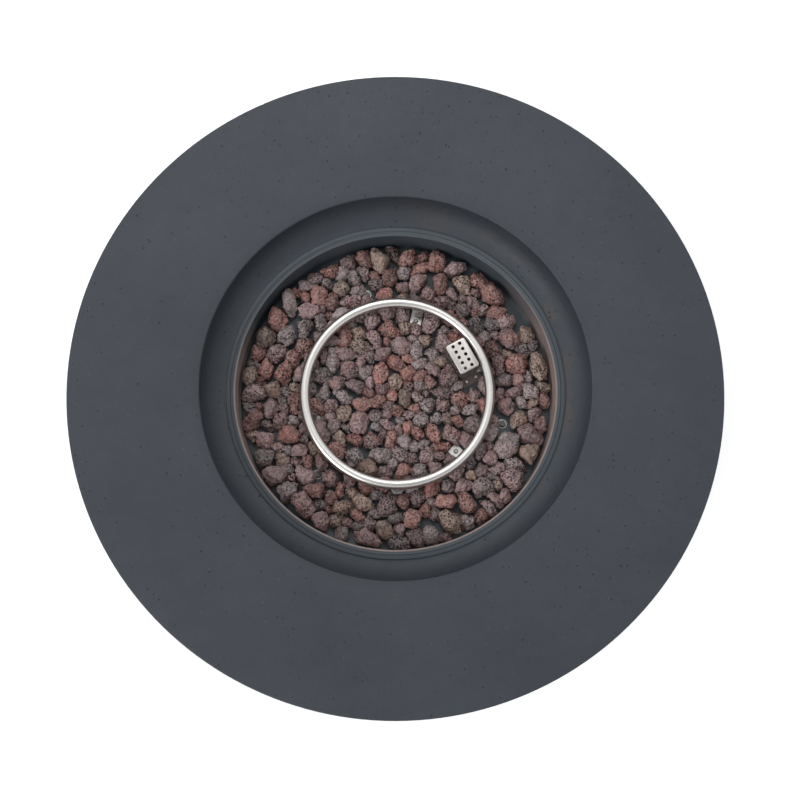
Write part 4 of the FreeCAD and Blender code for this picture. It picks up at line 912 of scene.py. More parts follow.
@dataclass(frozen=True)
class PanPaint(Finish):
    """Satin high-temperature paint on the pressed pan: a warm wall tint, partly heat tint and partly
    painted reflection of the stones, painted light low on the left wall and painted shade on the
    flange's left side.
    """

    title: str = "pan paint"
    base: Colour = rgb(0.042, 0.056, 0.070)
    worn: Colour = rgb(0.070, 0.080, 0.088)
    # Warm wall tint, partly heat tint and partly painted reflection of the stones.
    heat: Colour = rgb(0.350, 0.262, 0.238)
    # Painted light on the lower left wall.
    ash: Colour = rgb(0.420, 0.330, 0.310)
    # Painted shade on the flange's left side.
    soot: Colour = rgb(0.026, 0.034, 0.043)

    def dress(self, w: Wiring) -> dict[str, Any]:
        """A warm wall tint, partly heat tint and partly painted reflection of the stones, painted
        light low on the left wall, painted shade on the flange's left side, and orange peel.
        """
        at = w.place()
        clouds = w.clouds(at, scale=18.0, low=0.36, high=0.66)
        colour = w.layer(self.base, self.worn, clouds, 0.55)
        # Partly heat tint and partly painted reflection and bounce of the brown stones: the warm
        # colour is left off the far side of the wall.
        wall, facing = w.band(at, inner=0.2475, outer=0.251, blur=0.001, side=(0.17, -0.98, 0))
        patch = w.clouds(at, scale=11.0, low=0.42, high=0.64)
        patchy = w.span(patch, 0.0, 1.0, 0.65, 1.0)
        colour = w.layer(colour, self.heat, wall, w.span(facing, -0.62, -0.1), patchy)
        # Painted light: the lower left wall is lifted with a pale colour, as if lit from the right.
        left, facing = w.band(at, inner=0.2475, outer=0.2505, blur=0.001, side=(-0.94, -0.34, 0))
        height = w.node("ShaderNodeSeparateXYZ", {0: at})[2]
        low = w.span(height, 0.384, 0.352, 0.1, 0.9)
        colour = w.layer(colour, self.ash, w.span(facing, 0.66, 1.0), low, left)
        # Painted shade: the flange is darkened towards the left side.
        flange, facing = w.band(at, inner=0.254, outer=0.3, blur=0.002, side=(-1, 0, 0))
        colour = w.layer(colour, self.soot, flange, w.span(facing, 0.1, 0.95, 0.0, 0.8))
        return {
            "Base Color": colour,
            "Roughness": w.span(clouds, 0, 1, 0.42, 0.58),
            "Normal": w.bump(w.noise(at, 700.0), 0.06 * MM),
        }


@dataclass(frozen=True)
class BareMetal(Finish):
    """Metal that is polished, satin, plated or cast, with scratches, stains and pits."""

    colour: Colour
    stain: Colour
    roughness: Point
    grain: float = 300.0
    relief: float = 0.03
    stained: float = 0.3
    pitted: float = 0.0
    stretch: Place = (1.0, 1.0, 1.0)

    def dress(self, w: Wiring) -> dict[str, Any]:
        """Brushing drives the roughness and a shallow relief, and stains lie in patches."""
        at = w.place()
        lines = w.effect(BRUSHING, at, stretch=self.stretch, scale=self.grain)[0]
        patch = w.clouds(at, scale=26.0, low=0.45, high=0.7)
        pits = w.spots(at, scale=520.0, radius=0.3, share=self.pitted)
        colour = w.layer(self.colour, self.stain, patch, self.stained)
        return {
            "Base Color": w.layer(colour, self.stain, pits, 0.6),
            "Metallic": 1.0,
            "Roughness": w.span(lines, 0.25, 0.75, *self.roughness),
            "Normal": w.dents(pits, 0.15 * MM, w.bump(lines, self.relief * MM)),
        }


@dataclass(frozen=True)
class Moulded(Finish):
    """Plastic, rubber, ceramic or a painted can, with a moulded skin and handling marks."""

    colour: Colour
    dusty: Colour
    roughness: Point
    grain: float = 300.0
    relief: float = 0.01
    dust: float = 0.3

    def dress(self, w: Wiring) -> dict[str, Any]:
        """A fine spark-eroded texture with soft dusty patches."""
        at = w.place()
        patch = w.clouds(at, scale=45.0, low=0.42, high=0.7)
        return {
            "Base Color": w.layer(self.colour, self.dusty, patch, self.dust),
            "Roughness": w.span(patch, 0, 1, *self.roughness),
            "Normal": w.bump(w.noise(at, self.grain), self.relief * MM),
        }


CONCRETE = CastConcrete()
PAINT = PanPaint()
BRIGHT = BareMetal(
    "bright stainless", rgb(0.61, 0.595, 0.58), rgb(0.45, 0.42, 0.40), (0.27, 0.29),
    grain=420.0, relief=0.001,
)
SATIN = BareMetal(
    "satin stainless", rgb(0.48, 0.46, 0.445), rgb(0.32, 0.285, 0.26), (0.3, 0.44),
    grain=120.0, stained=0.4, pitted=0.1, stretch=(1.0, 14.0, 14.0),
)
BRUSHED_PANEL = BareMetal(
    "brushed panel", rgb(0.60, 0.60, 0.59), rgb(0.5, 0.49, 0.47), (0.26, 0.42),
    grain=60.0, stained=0.2, stretch=(0.6, 30.0, 30.0),
)
ZINC = BareMetal(
    "zinc plated steel", rgb(0.42, 0.42, 0.41), rgb(0.24, 0.21, 0.18), (0.34, 0.55),
    grain=500.0, stained=0.4, pitted=0.05,
)
GALVANISED = BareMetal(
    "galvanised sheet", rgb(0.46, 0.48, 0.50), rgb(0.62, 0.63, 0.64), (0.4, 0.62),
    grain=90.0, relief=0.02, stained=0.7,
)
BRASS = BareMetal(
    "brass", rgb(0.68, 0.49, 0.22), rgb(0.36, 0.25, 0.13), (0.24, 0.4),
    grain=260.0, stained=0.35, stretch=(1.0, 1.0, 6.0),
)
HEATED = BareMetal(
    "heat stained steel", rgb(0.15, 0.135, 0.13), rgb(0.09, 0.07, 0.06), (0.42, 0.6),
    stained=0.6, pitted=0.1,
)
CAST_ALUMINIUM = BareMetal(
    "cast aluminium", rgb(0.55, 0.56, 0.57), rgb(0.4, 0.4, 0.4), (0.45, 0.62),
    grain=420.0, relief=0.25, stained=0.4, pitted=0.1,
)
PIPE_ALUMINIUM = BareMetal(
    "aluminium tube", rgb(0.70, 0.71, 0.72), rgb(0.5, 0.5, 0.5), (0.28, 0.42), relief=0.02
)
SPRING_STEEL = BareMetal(
    "spring steel", rgb(0.42, 0.42, 0.43), rgb(0.25, 0.22, 0.19), (0.3, 0.42),
    grain=500.0, relief=0.01,
)
COPPER = BareMetal(
    "copper lead", rgb(0.74, 0.40, 0.25), rgb(0.38, 0.2, 0.13), (0.28, 0.42),
    grain=500.0, relief=0.01, stained=0.4,
)
DIAL_CHROME = BareMetal(
    "dial chrome", rgb(0.78, 0.78, 0.79), rgb(0.6, 0.6, 0.6), (0.16, 0.26),
    relief=0.01, stained=0.15,
)
BLACK_PLASTIC = Moulded(
    "black plastic", rgb(0.022, 0.022, 0.024), rgb(0.07, 0.07, 0.07), (0.45, 0.6),
    grain=900.0, relief=0.05,
)
BUTTON_PLASTIC = Moulded(
    "button plastic", rgb(0.03, 0.03, 0.034), rgb(0.06, 0.06, 0.06), (0.2, 0.32),
    grain=500.0, dust=0.2,
)
RUBBER = Moulded(
    "black rubber", rgb(0.025, 0.025, 0.026), rgb(0.09, 0.085, 0.08), (0.75, 0.9),
    grain=900.0, relief=0.05,
)
CERAMIC = Moulded(
    "white ceramic", rgb(0.80, 0.78, 0.73), rgb(0.45, 0.38, 0.30), (0.12, 0.3), dust=0.35
)
BATTERY = Moulded(
    "battery can", rgb(0.18, 0.18, 0.19), rgb(0.3, 0.3, 0.3), (0.25, 0.35), dust=0.2
)
SLEEVE = Moulded(
    "lead sleeve", rgb(0.45, 0.10, 0.07), rgb(0.3, 0.15, 0.12), (0.45, 0.6),
    grain=500.0, relief=0.02,
)
DIAL_INK = Moulded(
    "dial ink", rgb(0.02, 0.02, 0.02), rgb(0.05, 0.05, 0.05), (0.5, 0.6), grain=800.0
)
POINTER_PAINT = Moulded(
    "pointer paint", rgb(0.80, 0.80, 0.78), rgb(0.6, 0.58, 0.55), (0.4, 0.5), grain=800.0
)


# Sub-assemblies


@dataclass
class Bowl:
    """The cast bowl: flat table ring, cove, pan ledge, curved side, foot and control niche."""

    outer_radius: float = 500 * MM
    top_z: float = 430 * MM
    edge: float = 2.2 * MM
    band: float = 62 * MM
    undercut: float = 8 * MM
    slab: float = 34 * MM
    wall: float = 28 * MM
    bulge: float = 38 * MM
    neck: Point = (345 * MM, 58 * MM)
    foot_radius: float = 322 * MM
    foot_width: float = 42 * MM
    foot_z: float = 8 * MM
    recess_radius: float = 298 * MM
    ledge_radius: float = 266 * MM
    ledge_z: float = LEDGE_Z
    ledge_width: float = 12 * MM
    ledge_depth: float = 26 * MM
    cove_wall: float = 22 * MM
    cove_belly: float = 0.29
    cove_steps: int = 20
    niche_z: float = CONTROL_Z
    niche: Point = (190 * MM, 120 * MM)
    niche_wall: float = 24 * MM
    niche_sill: float = 4 * MM
    niche_round: float = 5 * MM
    housing_round: float = 8 * MM
    opening: Point = (150 * MM, 84 * MM)
    opening_round: float = 4 * MM
    core_inset: float = 12 * MM
    notch: Point = (120 * MM, 28 * MM)
    notch_round: float = 10 * MM
    notch_angles: tuple[float, ...] = (0, 90, 180)
    rib_count: int = 8
    rib_thickness: float = 18 * MM
    rib_depth: float = 36 * MM
    rib_cover: float = 17 * MM
    inlet_z: float = 110 * MM
    inlet_hole: float = 9.5 * MM
    inlet_cut: float = 300 * MM
    inlet_wall: float = 20 * MM
    spot_face: float = 21 * MM
    boss: Point = (27 * MM, 14 * MM)
    pad_count: int = 4
    pad_radius: float = 17.2 * MM
    big_chips: tuple[Place, ...] = ((-210.5 * MM, 453.5 * MM, 3.2), (193 * MM, 461 * MM, 2.4))
    small_chips: int = 9
    chip_drift: float = 15.0
    chip_sizes: Point = (1.0, 2.0)
    chip_shape: Place = (1.5, 1.0, 0.7)
    chip_rough: float = 0.25
    steps: int = 192
    side_steps: int = 24
    inside_steps: int = 16
    core_steps: tuple[int, int] = (12, 128)

    def side_arc(self) -> tuple[Vector, float]:
        """The centre and radius of the side's arc, from its chord and its bulge.

        Returns:
            The centre as (radius, height), and the arc's radius.
        """
        top = Vector((self.outer_radius - self.undercut, self.top_z - self.band - self.undercut))
        foot = Vector(self.neck)
        chord = top - foot
        outward = Vector((chord.y, -chord.x)).normalized()
        radius = chord.length**2 / (8 * self.bulge) + self.bulge / 2
        return (top + foot) / 2 + (self.bulge - radius) * outward, radius

    def side_radius(self, z: float, inset: float = 0.0) -> float:
        """How far the side is from the axis at a height, or a wall inset from it."""
        centre, radius = self.side_arc()
        return centre.x + math.sqrt((radius - inset) ** 2 - (z - centre.y) ** 2)

    def side(self, inset: float, low: float, high: float, count: int) -> list[Point]:
        """Points up the side's arc, or up a wall inset from it."""
        heights = [low + (high - low) * i / count for i in range(count + 1)]
        return [(self.side_radius(z, inset), z) for z in heights]

    def panel_y(self) -> float:
        """Where the flat back of the niche stands."""
        radius = self.side_radius(self.niche_z - self.niche[1] / 2)
        return self.niche_sill - math.sqrt(radius**2 - (self.niche[0] / 2) ** 2)

    def inlet_faces(self) -> Point:
        """The y of the faces inside and outside the gas inlet hole."""
        inner = self.side_radius(self.inlet_z - self.spot_face, self.wall) - 2 * MM
        return inner, inner + self.inlet_wall

    def cove(self) -> list[Point]:
        """The hollow from the ledge up to the recess's edge.

        Returns:
            The points from the ledge outward.
        """
        recess = self.top_z - 2 * MM
        reach = self.recess_radius - self.ledge_radius
        belly_z = self.ledge_z + self.cove_belly * (recess - self.ledge_z)
        middle = (self.recess_radius - self.cove_belly * reach, belly_z)
        start, end = (self.ledge_radius, self.ledge_z), (self.recess_radius, recess)
        return [start] + arc_through(start, middle, end, self.cove_steps) + [end]

    def profile(self) -> list[Point]:
        """The bowl's whole closed section, with every lip rounded.

        Returns:
            The points, from the ledge over the rim and back inside.
        """
        r, z = self.outer_radius, self.top_z
        under = z - self.band - self.undercut
        slab = z - self.slab
        ledge_under = self.ledge_z - self.ledge_depth
        foot_in = self.foot_radius - self.foot_width
        low = self.neck[1] + self.wall
        rim = [
            (self.recess_radius + 0.4 * MM, z, 2.2 * MM),
            (r, z, self.edge),
            (r, z - self.band, 1.5 * MM),
            (r - self.undercut, under, 0.0),
        ]
        outline = softened([(self.recess_radius, z - 0.1, 0.0)] + rim + [(0.4, 0.2, 0.0)])
        lip = [point for point in outline[1:-1] if point[1] >= under - HAIR]
        side = self.side(0.0, self.neck[1], under, self.side_steps)[::-1][1:]
        foot = softened(
            [
                (self.foot_radius, self.neck[1] + 0.1, 0.0),
                (self.foot_radius, self.foot_z, 2.0 * MM),
                (foot_in, self.foot_z, 2.0 * MM),
                (foot_in, low, 0.0),
            ]
        )
        foot = [(self.foot_radius, self.neck[1])] + foot[1:-1] + [(foot_in, self.neck[1])]
        inside = self.side(self.wall, low, slab, self.inside_steps)
        inner = [
            (self.recess_radius + self.cove_wall, slab),
            (self.ledge_radius + self.cove_wall, ledge_under),
            (self.ledge_radius - self.ledge_width, ledge_under),
            (self.ledge_radius - self.ledge_width, self.ledge_z),
        ]
        return self.cove() + lip + side + foot + inside + inner

    def chips(self) -> list[Piece]:
        """Small broken lumps that are cut out of the two edges of the table ring.

        Returns:
            The lumps, as cutters.
        """
        draw = random.Random(11)
        spots = list(self.big_chips)
        for k in range(self.small_chips):
            angle = 360 / self.small_chips * k + draw.uniform(-self.chip_drift, self.chip_drift)
            radius = self.outer_radius if k % 3 else self.recess_radius
            spots.append((*polar(radius, angle), draw.uniform(*self.chip_sizes)))
        lumps = []
        for x, y, size in spots:
            inner = math.hypot(x, y) <= (self.outer_radius + self.recess_radius) / 2
            radius = self.recess_radius if inner else self.outer_radius
            at = (*polar(radius, math.degrees(math.atan2(y, x))), self.top_z)
            bpy.ops.mesh.primitive_ico_sphere_add(
                subdivisions=2, radius=size * MM, location=at, scale=self.chip_shape
            )
            step = self.chip_rough * size * MM
            lumps.append(roughened(settle(bpy.context.object), draw, step))
        return lumps

    def notches(self) -> list[Piece]:
        """Blocks with two rounded upper corners that cut the vent notches.

        Returns:
            The cutters.
        """
        half, top = self.notch[0] / 2, self.foot_z + self.notch[1]
        low = (self.foot_radius / 2, -half, self.foot_z - self.notch_round)
        tool = block(low, (self.outer_radius, half, top))
        high, across = above(top - MM), along(1)
        bevelled(tool, lambda edge: high(edge) and not across(edge), self.notch_round, 6)
        return ringed(tool, self.notch_angles)

    def framed(self, half: Point, front: float, back: float, radius: float) -> Piece:
        """A block round the niche's middle line, with its long edges rounded.

        Args:
            half: Half its width and half its height.
            front: The y of its front.
            back: The y of its back.
            radius: The rounding of its edges.

        Returns:
            The new object.
        """
        low = (-half[0], front, self.niche_z - half[1])
        tool = block(low, (half[0], back, self.niche_z + half[1]))
        bevelled(tool, along(1), radius, 6)
        return tool

    def ribs(self) -> list[Piece]:
        """The blades that stand between the cove's back and the bowl's side.

        Returns:
            The blades, turned into their places.
        """
        half = self.rib_thickness / 2
        low_z = self.top_z - self.slab - self.rib_depth
        low = (self.recess_radius + self.cove_wall / 2, -half, low_z)
        high = (self.outer_radius - self.wall / 2, half, self.top_z - self.rib_cover)
        return ringed(block(low, high), evenly(self.rib_count))

    def housing(self, half: Point, back: float) -> Piece:
        """The walls behind the niche, as far as they stay inside the bowl's skin.

        Args:
            half: Half the niche's width and half its height.
            back: The y of the walls' back.

        Returns:
            The new object.
        """
        outer = (half[0] + self.niche_wall, half[1] + self.niche_wall)
        walls = self.framed(outer, -self.outer_radius, back, self.housing_round)
        low, high = self.neck[1] + 4 * MM, self.top_z - self.band - self.undercut
        up, round_steps = self.core_steps
        core = [(0, low)] + self.side(self.core_inset, low, high, up) + [(0, high)]
        carve(walls, [turned(core, round_steps, closed=False)], "INTERSECT")
        return walls

    def build(self) -> None:
        """Turns the section, adds ribs, niche housing and boss, and cuts the openings."""
        cast = turned(self.profile(), self.steps)
        carve(cast, self.ribs(), "UNION")
        front, far, z = self.panel_y(), self.outer_radius, self.inlet_z
        back = front + self.niche_wall
        half = (self.niche[0] / 2, self.niche[1] / 2)
        housing = self.housing(half, back)
        inner_face, outer_face = self.inlet_faces()
        boss = rod(self.boss[0], (0, inner_face, z), (0, inner_face + self.boss[1], z))
        carve(cast, [housing], "UNION")
        carve(cast, [boss], "UNION")
        niche = self.framed(half, -far, front, self.niche_round)
        hole = (self.opening[0] / 2, self.opening[1] / 2)
        opening = self.framed(hole, front - MM, back + MM, self.opening_round)
        carve(cast, [niche])
        carve(cast, [opening])
        carve(cast, [rod(self.spot_face, (0, outer_face, z), (0, far, z))])
        inlet = rod(self.inlet_hole, (0, self.inlet_cut, z), (0, far, z))
        seat = rod(self.pad_radius, (0, 0, 0), (0, 0, self.foot_z + 2 * MM))
        middle = self.foot_radius - self.foot_width / 2
        seats = dealt(seat, [(*polar(middle, angle), 0) for angle in evenly(self.pad_count)])
        carve(cast, [inlet, *self.notches(), *seats])
        carve(cast, self.chips())
        smooth(cast, 32)
        finished(cast, "bowl_casting", CONCRETE, ["concrete_bowl"])


@dataclass
class Pan:
    """The pressed pan in the recess, with a rolled bead on its flange."""

    ledge_z: float = LEDGE_Z
    floor_z: float = PAN_FLOOR_Z
    sheet: float = 2 * MM
    radius: float = 249 * MM
    corner: float = 7 * MM
    flange: float = 263.5 * MM
    bead_radius: float = 255.5 * MM
    bead_width: float = 3.2 * MM
    bead_height: float = 0.7 * MM
    slots: int = 4
    slot_radius: float = 215 * MM
    slot: Point = (4 * MM, 24 * MM)
    slot_round: float = 1.9 * MM
    steps: int = 192

    def profile(self) -> list[Point]:
        """The pan's section from the middle of its floor out and back underneath.

        Returns:
            The points from the axis out over the flange and back to the axis.
        """
        top = self.ledge_z + self.sheet
        crown = top + self.bead_height
        foot, brow = self.bead_width / 2 + 0.3 * MM, 0.2 * self.bead_width
        outer, under = self.radius + self.sheet, self.floor_z - self.sheet
        corners = [
            (0.0, self.floor_z, 0.0),
            (self.radius, self.floor_z, self.corner),
            (self.radius, top, 0.8 * MM),
            (self.bead_radius - foot, top, 0.3 * MM),
            (self.bead_radius - brow, crown, 0.5 * MM),
            (self.bead_radius + brow, crown, 0.5 * MM),
            (self.bead_radius + foot, top, 0.3 * MM),
            (self.flange, top, 0.7 * MM),
            (self.flange, self.ledge_z, 0.4 * MM),
            (outer, self.ledge_z, 0.5 * MM),
            (outer, under, self.corner + self.sheet),
            (0.0, under, 0.0),
        ]
        return softened(corners, 5)

    def build(self) -> None:
        """Turns the pan and punches its drain slots."""
        pan = turned(self.profile(), self.steps, closed=False)
        wide, half = self.slot[0], self.slot[1] / 2
        low = (self.slot_radius, -half, self.floor_z - 4 * MM)
        high = (self.slot_radius + wide, half, self.floor_z + MM)
        tool = block(low, high)
        bevelled(tool, along(2), self.slot_round, 4)
        carve(pan, ringed(tool, evenly(self.slots)))
        smooth(pan, 40)
        finished(pan, "pan_pressing", PAINT, ["burner_pan"])


@dataclass
class RingBurner:
    """The round stainless tube over the stones, drilled low on its flank, and its feed."""

    centre: Point = (RING_X, 0.0)
    radius: float = RING_RADIUS
    tube: float = 8 * MM
    z: float = 360 * MM
    feed_angle: float = -90.0
    feed_radius: float = 7 * MM
    feed_end: float = 292 * MM
    ports: int = 48
    port_radius: float = 1.1 * MM
    port_tilt: float = -38.0
    port_cut: Point = (0.75, 1.2)
    weld: float = 1.1 * MM
    weld_drop: float = 0.4 * MM
    weld_rough: float = 0.15 * MM
    tube_steps: tuple[int, int] = (224, 32)
    weld_steps: tuple[int, int] = (40, 10)

    def port_cutters(self) -> list[Piece]:
        """Short drills that point into the tube's lower outer flank.

        Returns:
            The drills.
        """
        reach, drop = polar(self.tube, self.port_tilt)
        start, end = (
            (self.radius + share * reach, 0.0, self.z + share * drop) for share in self.port_cut
        )
        return ringed(rod(self.port_radius, start, end, 10), evenly(self.ports))

    def build(self) -> None:
        """Bends the tube round the Z axis, drills it, welds on the feed and moves it over."""
        x, y = polar(self.radius, self.feed_angle)
        ring = hoop(self.radius, self.tube, (0, 0, self.z), *self.tube_steps)
        carve(ring, [rod(self.feed_radius, (x, y, self.feed_end), (x, y, self.z))], "UNION")
        carve(ring, self.port_cutters())
        smooth(ring, 40)
        ring.location.xy = self.centre
        finished(ring, "ring_tube", BRIGHT, ["ring_burner"])
        under = self.z - self.tube - self.weld_drop
        weld = hoop(self.feed_radius, self.weld, (x, y, under), *self.weld_steps)
        roughened(weld, random.Random(4), self.weld_rough)
        smooth(weld, 60)
        weld.location.xy = self.centre
        finished(weld, "feed_weld", SATIN)


@dataclass
class PilotHood:
    """The folded hood over the pilot: perforated top, slotted sides, open underneath."""

    centre: Point = (RING_X, 0.0)
    angle: float = 29.0
    radius: float = 117.3 * MM
    length: float = 52 * MM
    width: float = 34 * MM
    seat_z: float = 326.5 * MM
    top_z: float = 371 * MM
    sheet: float = 1 * MM
    corner: float = 4 * MM
    fold: float = 1.6 * MM
    hole: float = 2.8 * MM
    rows: int = 5
    columns: int = 2
    row_pitch: float = 9.8 * MM
    column_pitch: float = 11.8 * MM
    punch_z: float = 380 * MM
    slots: int = 3
    slot: Point = (5 * MM, 16 * MM)
    slot_drop: float = 10 * MM
    slot_round: float = 2.3 * MM

    def folded(self) -> Piece:
        """The bent sheet before it is punched.

        Returns:
            The new object.
        """
        side, end = self.width / 2, self.length / 2
        hood = block((-side, -end, self.seat_z), (side, end, self.top_z))
        bevelled(hood, along(2), self.corner, 4)
        bevelled(hood, above(self.top_z - HAIR), self.fold, 3)
        with editing(hood):
            pick(hood, Part.FACES, lambda face: face.normal.z < -0.9)
            bpy.ops.mesh.delete(type="FACE")
        modify(hood, "SOLIDIFY", thickness=self.sheet, offset=-1.0, use_even_offset=True)
        return hood

    def punches(self) -> list[Piece]:
        """The cutters of the round holes in the top and the slots in the two sides.

        Returns:
            The cutters.
        """
        rows = centred(self.rows, self.row_pitch)
        columns = centred(self.columns, self.column_pitch)
        hole = rod(self.hole, (0, 0, self.top_z - 3 * MM), (0, 0, self.punch_z), 24)
        holes = dealt(hole, [(x, y, 0) for y in rows for x in columns])
        side, half = self.width / 2 + MM, self.slot[0] / 2
        high = self.top_z - self.slot_drop
        slot = block((-side, -half, high - self.slot[1]), (side, half, high))
        bevelled(slot, along(0), self.slot_round, 4)
        pitch = self.length / (self.slots + 1)
        return holes + dealt(slot, [(0, y, 0) for y in centred(self.slots, pitch)])

    def build(self) -> None:
        """Folds the sheet, punches it and turns it into its place."""
        hood = self.folded()
        carve(hood, self.punches())
        x, y = polar(self.radius, self.angle)
        hood.location.xy = (self.centre[0] + x, self.centre[1] + y)
        smooth(swung(hood, self.angle), 40)
        finished(hood, "pilot_hood_sheet", SATIN, ["pilot_hood"])


@dataclass
class FloorScrews:
    """The three hexagon screws and cup washers that hold the heat shield under the pan."""

    angles: tuple[float, ...] = (-14.5, 105.5, 225.5)
    radius: float = 175 * MM
    shank: float = 2.5 * MM
    shank_end: float = 287.8 * MM
    seat_z: float = BED_Z
    head: float = 4.6 * MM
    head_z: float = 329.7 * MM
    head_round: float = 0.5 * MM
    socket: float = 2.2 * MM
    socket_depth: float = 1.8 * MM
    cup: tuple[Place, ...] = (
        (2.75, 325.0, 0.0),
        (7.5, 325.0, 0.0),
        (7.5, 326.2, 0.4),
        (6.7, 326.2, 0.2),
        (5.1, 325.2, 0.0),
        (2.75, 325.2, 0.0),
    )

    def spread(self, first: Piece) -> Piece:
        """Copies one piece to each place and joins the copies.

        Args:
            first: The piece on the axis, which is removed.

        Returns:
            The joined copies.
        """
        copies = []
        for angle in self.angles:
            copy = twin(first)
            copy.location.xy = polar(self.radius, angle)
            copies.append(swung(copy, 1.7 * angle))
        bpy.data.objects.remove(first)
        return joined(copies)

    def upright(self, radius: float, low: float, high: float, sides: int) -> Piece:
        """A rod on the axis between two heights."""
        return rod(radius, (0, 0, low), (0, 0, high), sides)

    def build(self) -> None:
        """Models one screw and one washer and sets three of each."""
        screw = self.upright(self.head, self.seat_z, self.head_z, 6)
        bevelled(screw, above(self.head_z - HAIR), self.head_round, 2)
        deep = self.head_z - self.socket_depth
        carve(screw, [self.upright(self.socket, deep, self.head_z + MM, 6)])
        shank = self.upright(self.shank, self.shank_end, self.seat_z + MM, 24)
        carve(screw, [shank], "UNION")
        smooth(screw, 30)
        # The heads are dark heat-stained steel, partly heat stain and partly painted shade in the
        # hollow of the cup washers.
        finished(self.spread(screw), "shield_screw_set", HEATED, ["shield_screws"])
        cup = turned([(x * MM, z * MM) for x, z in softened(self.cup, 3)], 40)
        smooth(cup, 50)
        finished(self.spread(cup), "cup_washers", BRIGHT, ["shield_washers"])


@dataclass(frozen=True)
class Patch:
    """The plan of one stone, or of something that the stones leave clear: an oval."""

    x: float
    y: float
    radius: float
    turn: float = 0.0
    stretch: float = 1.0

    def across(self, angle: float) -> float:
        """The oval's reach in one direction.

        Args:
            angle: The direction, in radians.

        Returns:
            The distance from its middle.
        """
        along_it = math.cos(angle - self.turn) / self.stretch
        beside = math.sin(angle - self.turn) * self.stretch
        return self.radius / math.hypot(along_it, beside)

    def away(self, x: float, y: float) -> float:
        """How far the patch's middle is from a point."""
        return math.hypot(self.x - x, self.y - y)

    def room(self, angle: float, other: "Patch") -> float:
        """How far this patch may spread in one direction before it meets another one.

        The line between two patches runs where the distances to them are as their sizes.

        Args:
            angle: The direction, in radians.
            other: The patch that it may meet.

        Returns:
            The distance from its middle, or infinity where they never meet.
        """
        bearing = math.atan2(other.y - self.y, other.x - self.x)
        facing = math.cos(angle - bearing)
        share = (other.across(bearing + math.pi) / self.across(angle)) ** 2
        inside = facing * facing + share - 1.0
        if inside < 0.0 or facing + math.sqrt(inside) <= 0.0:
            return math.inf
        return other.away(self.x, self.y) / (facing + math.sqrt(inside))


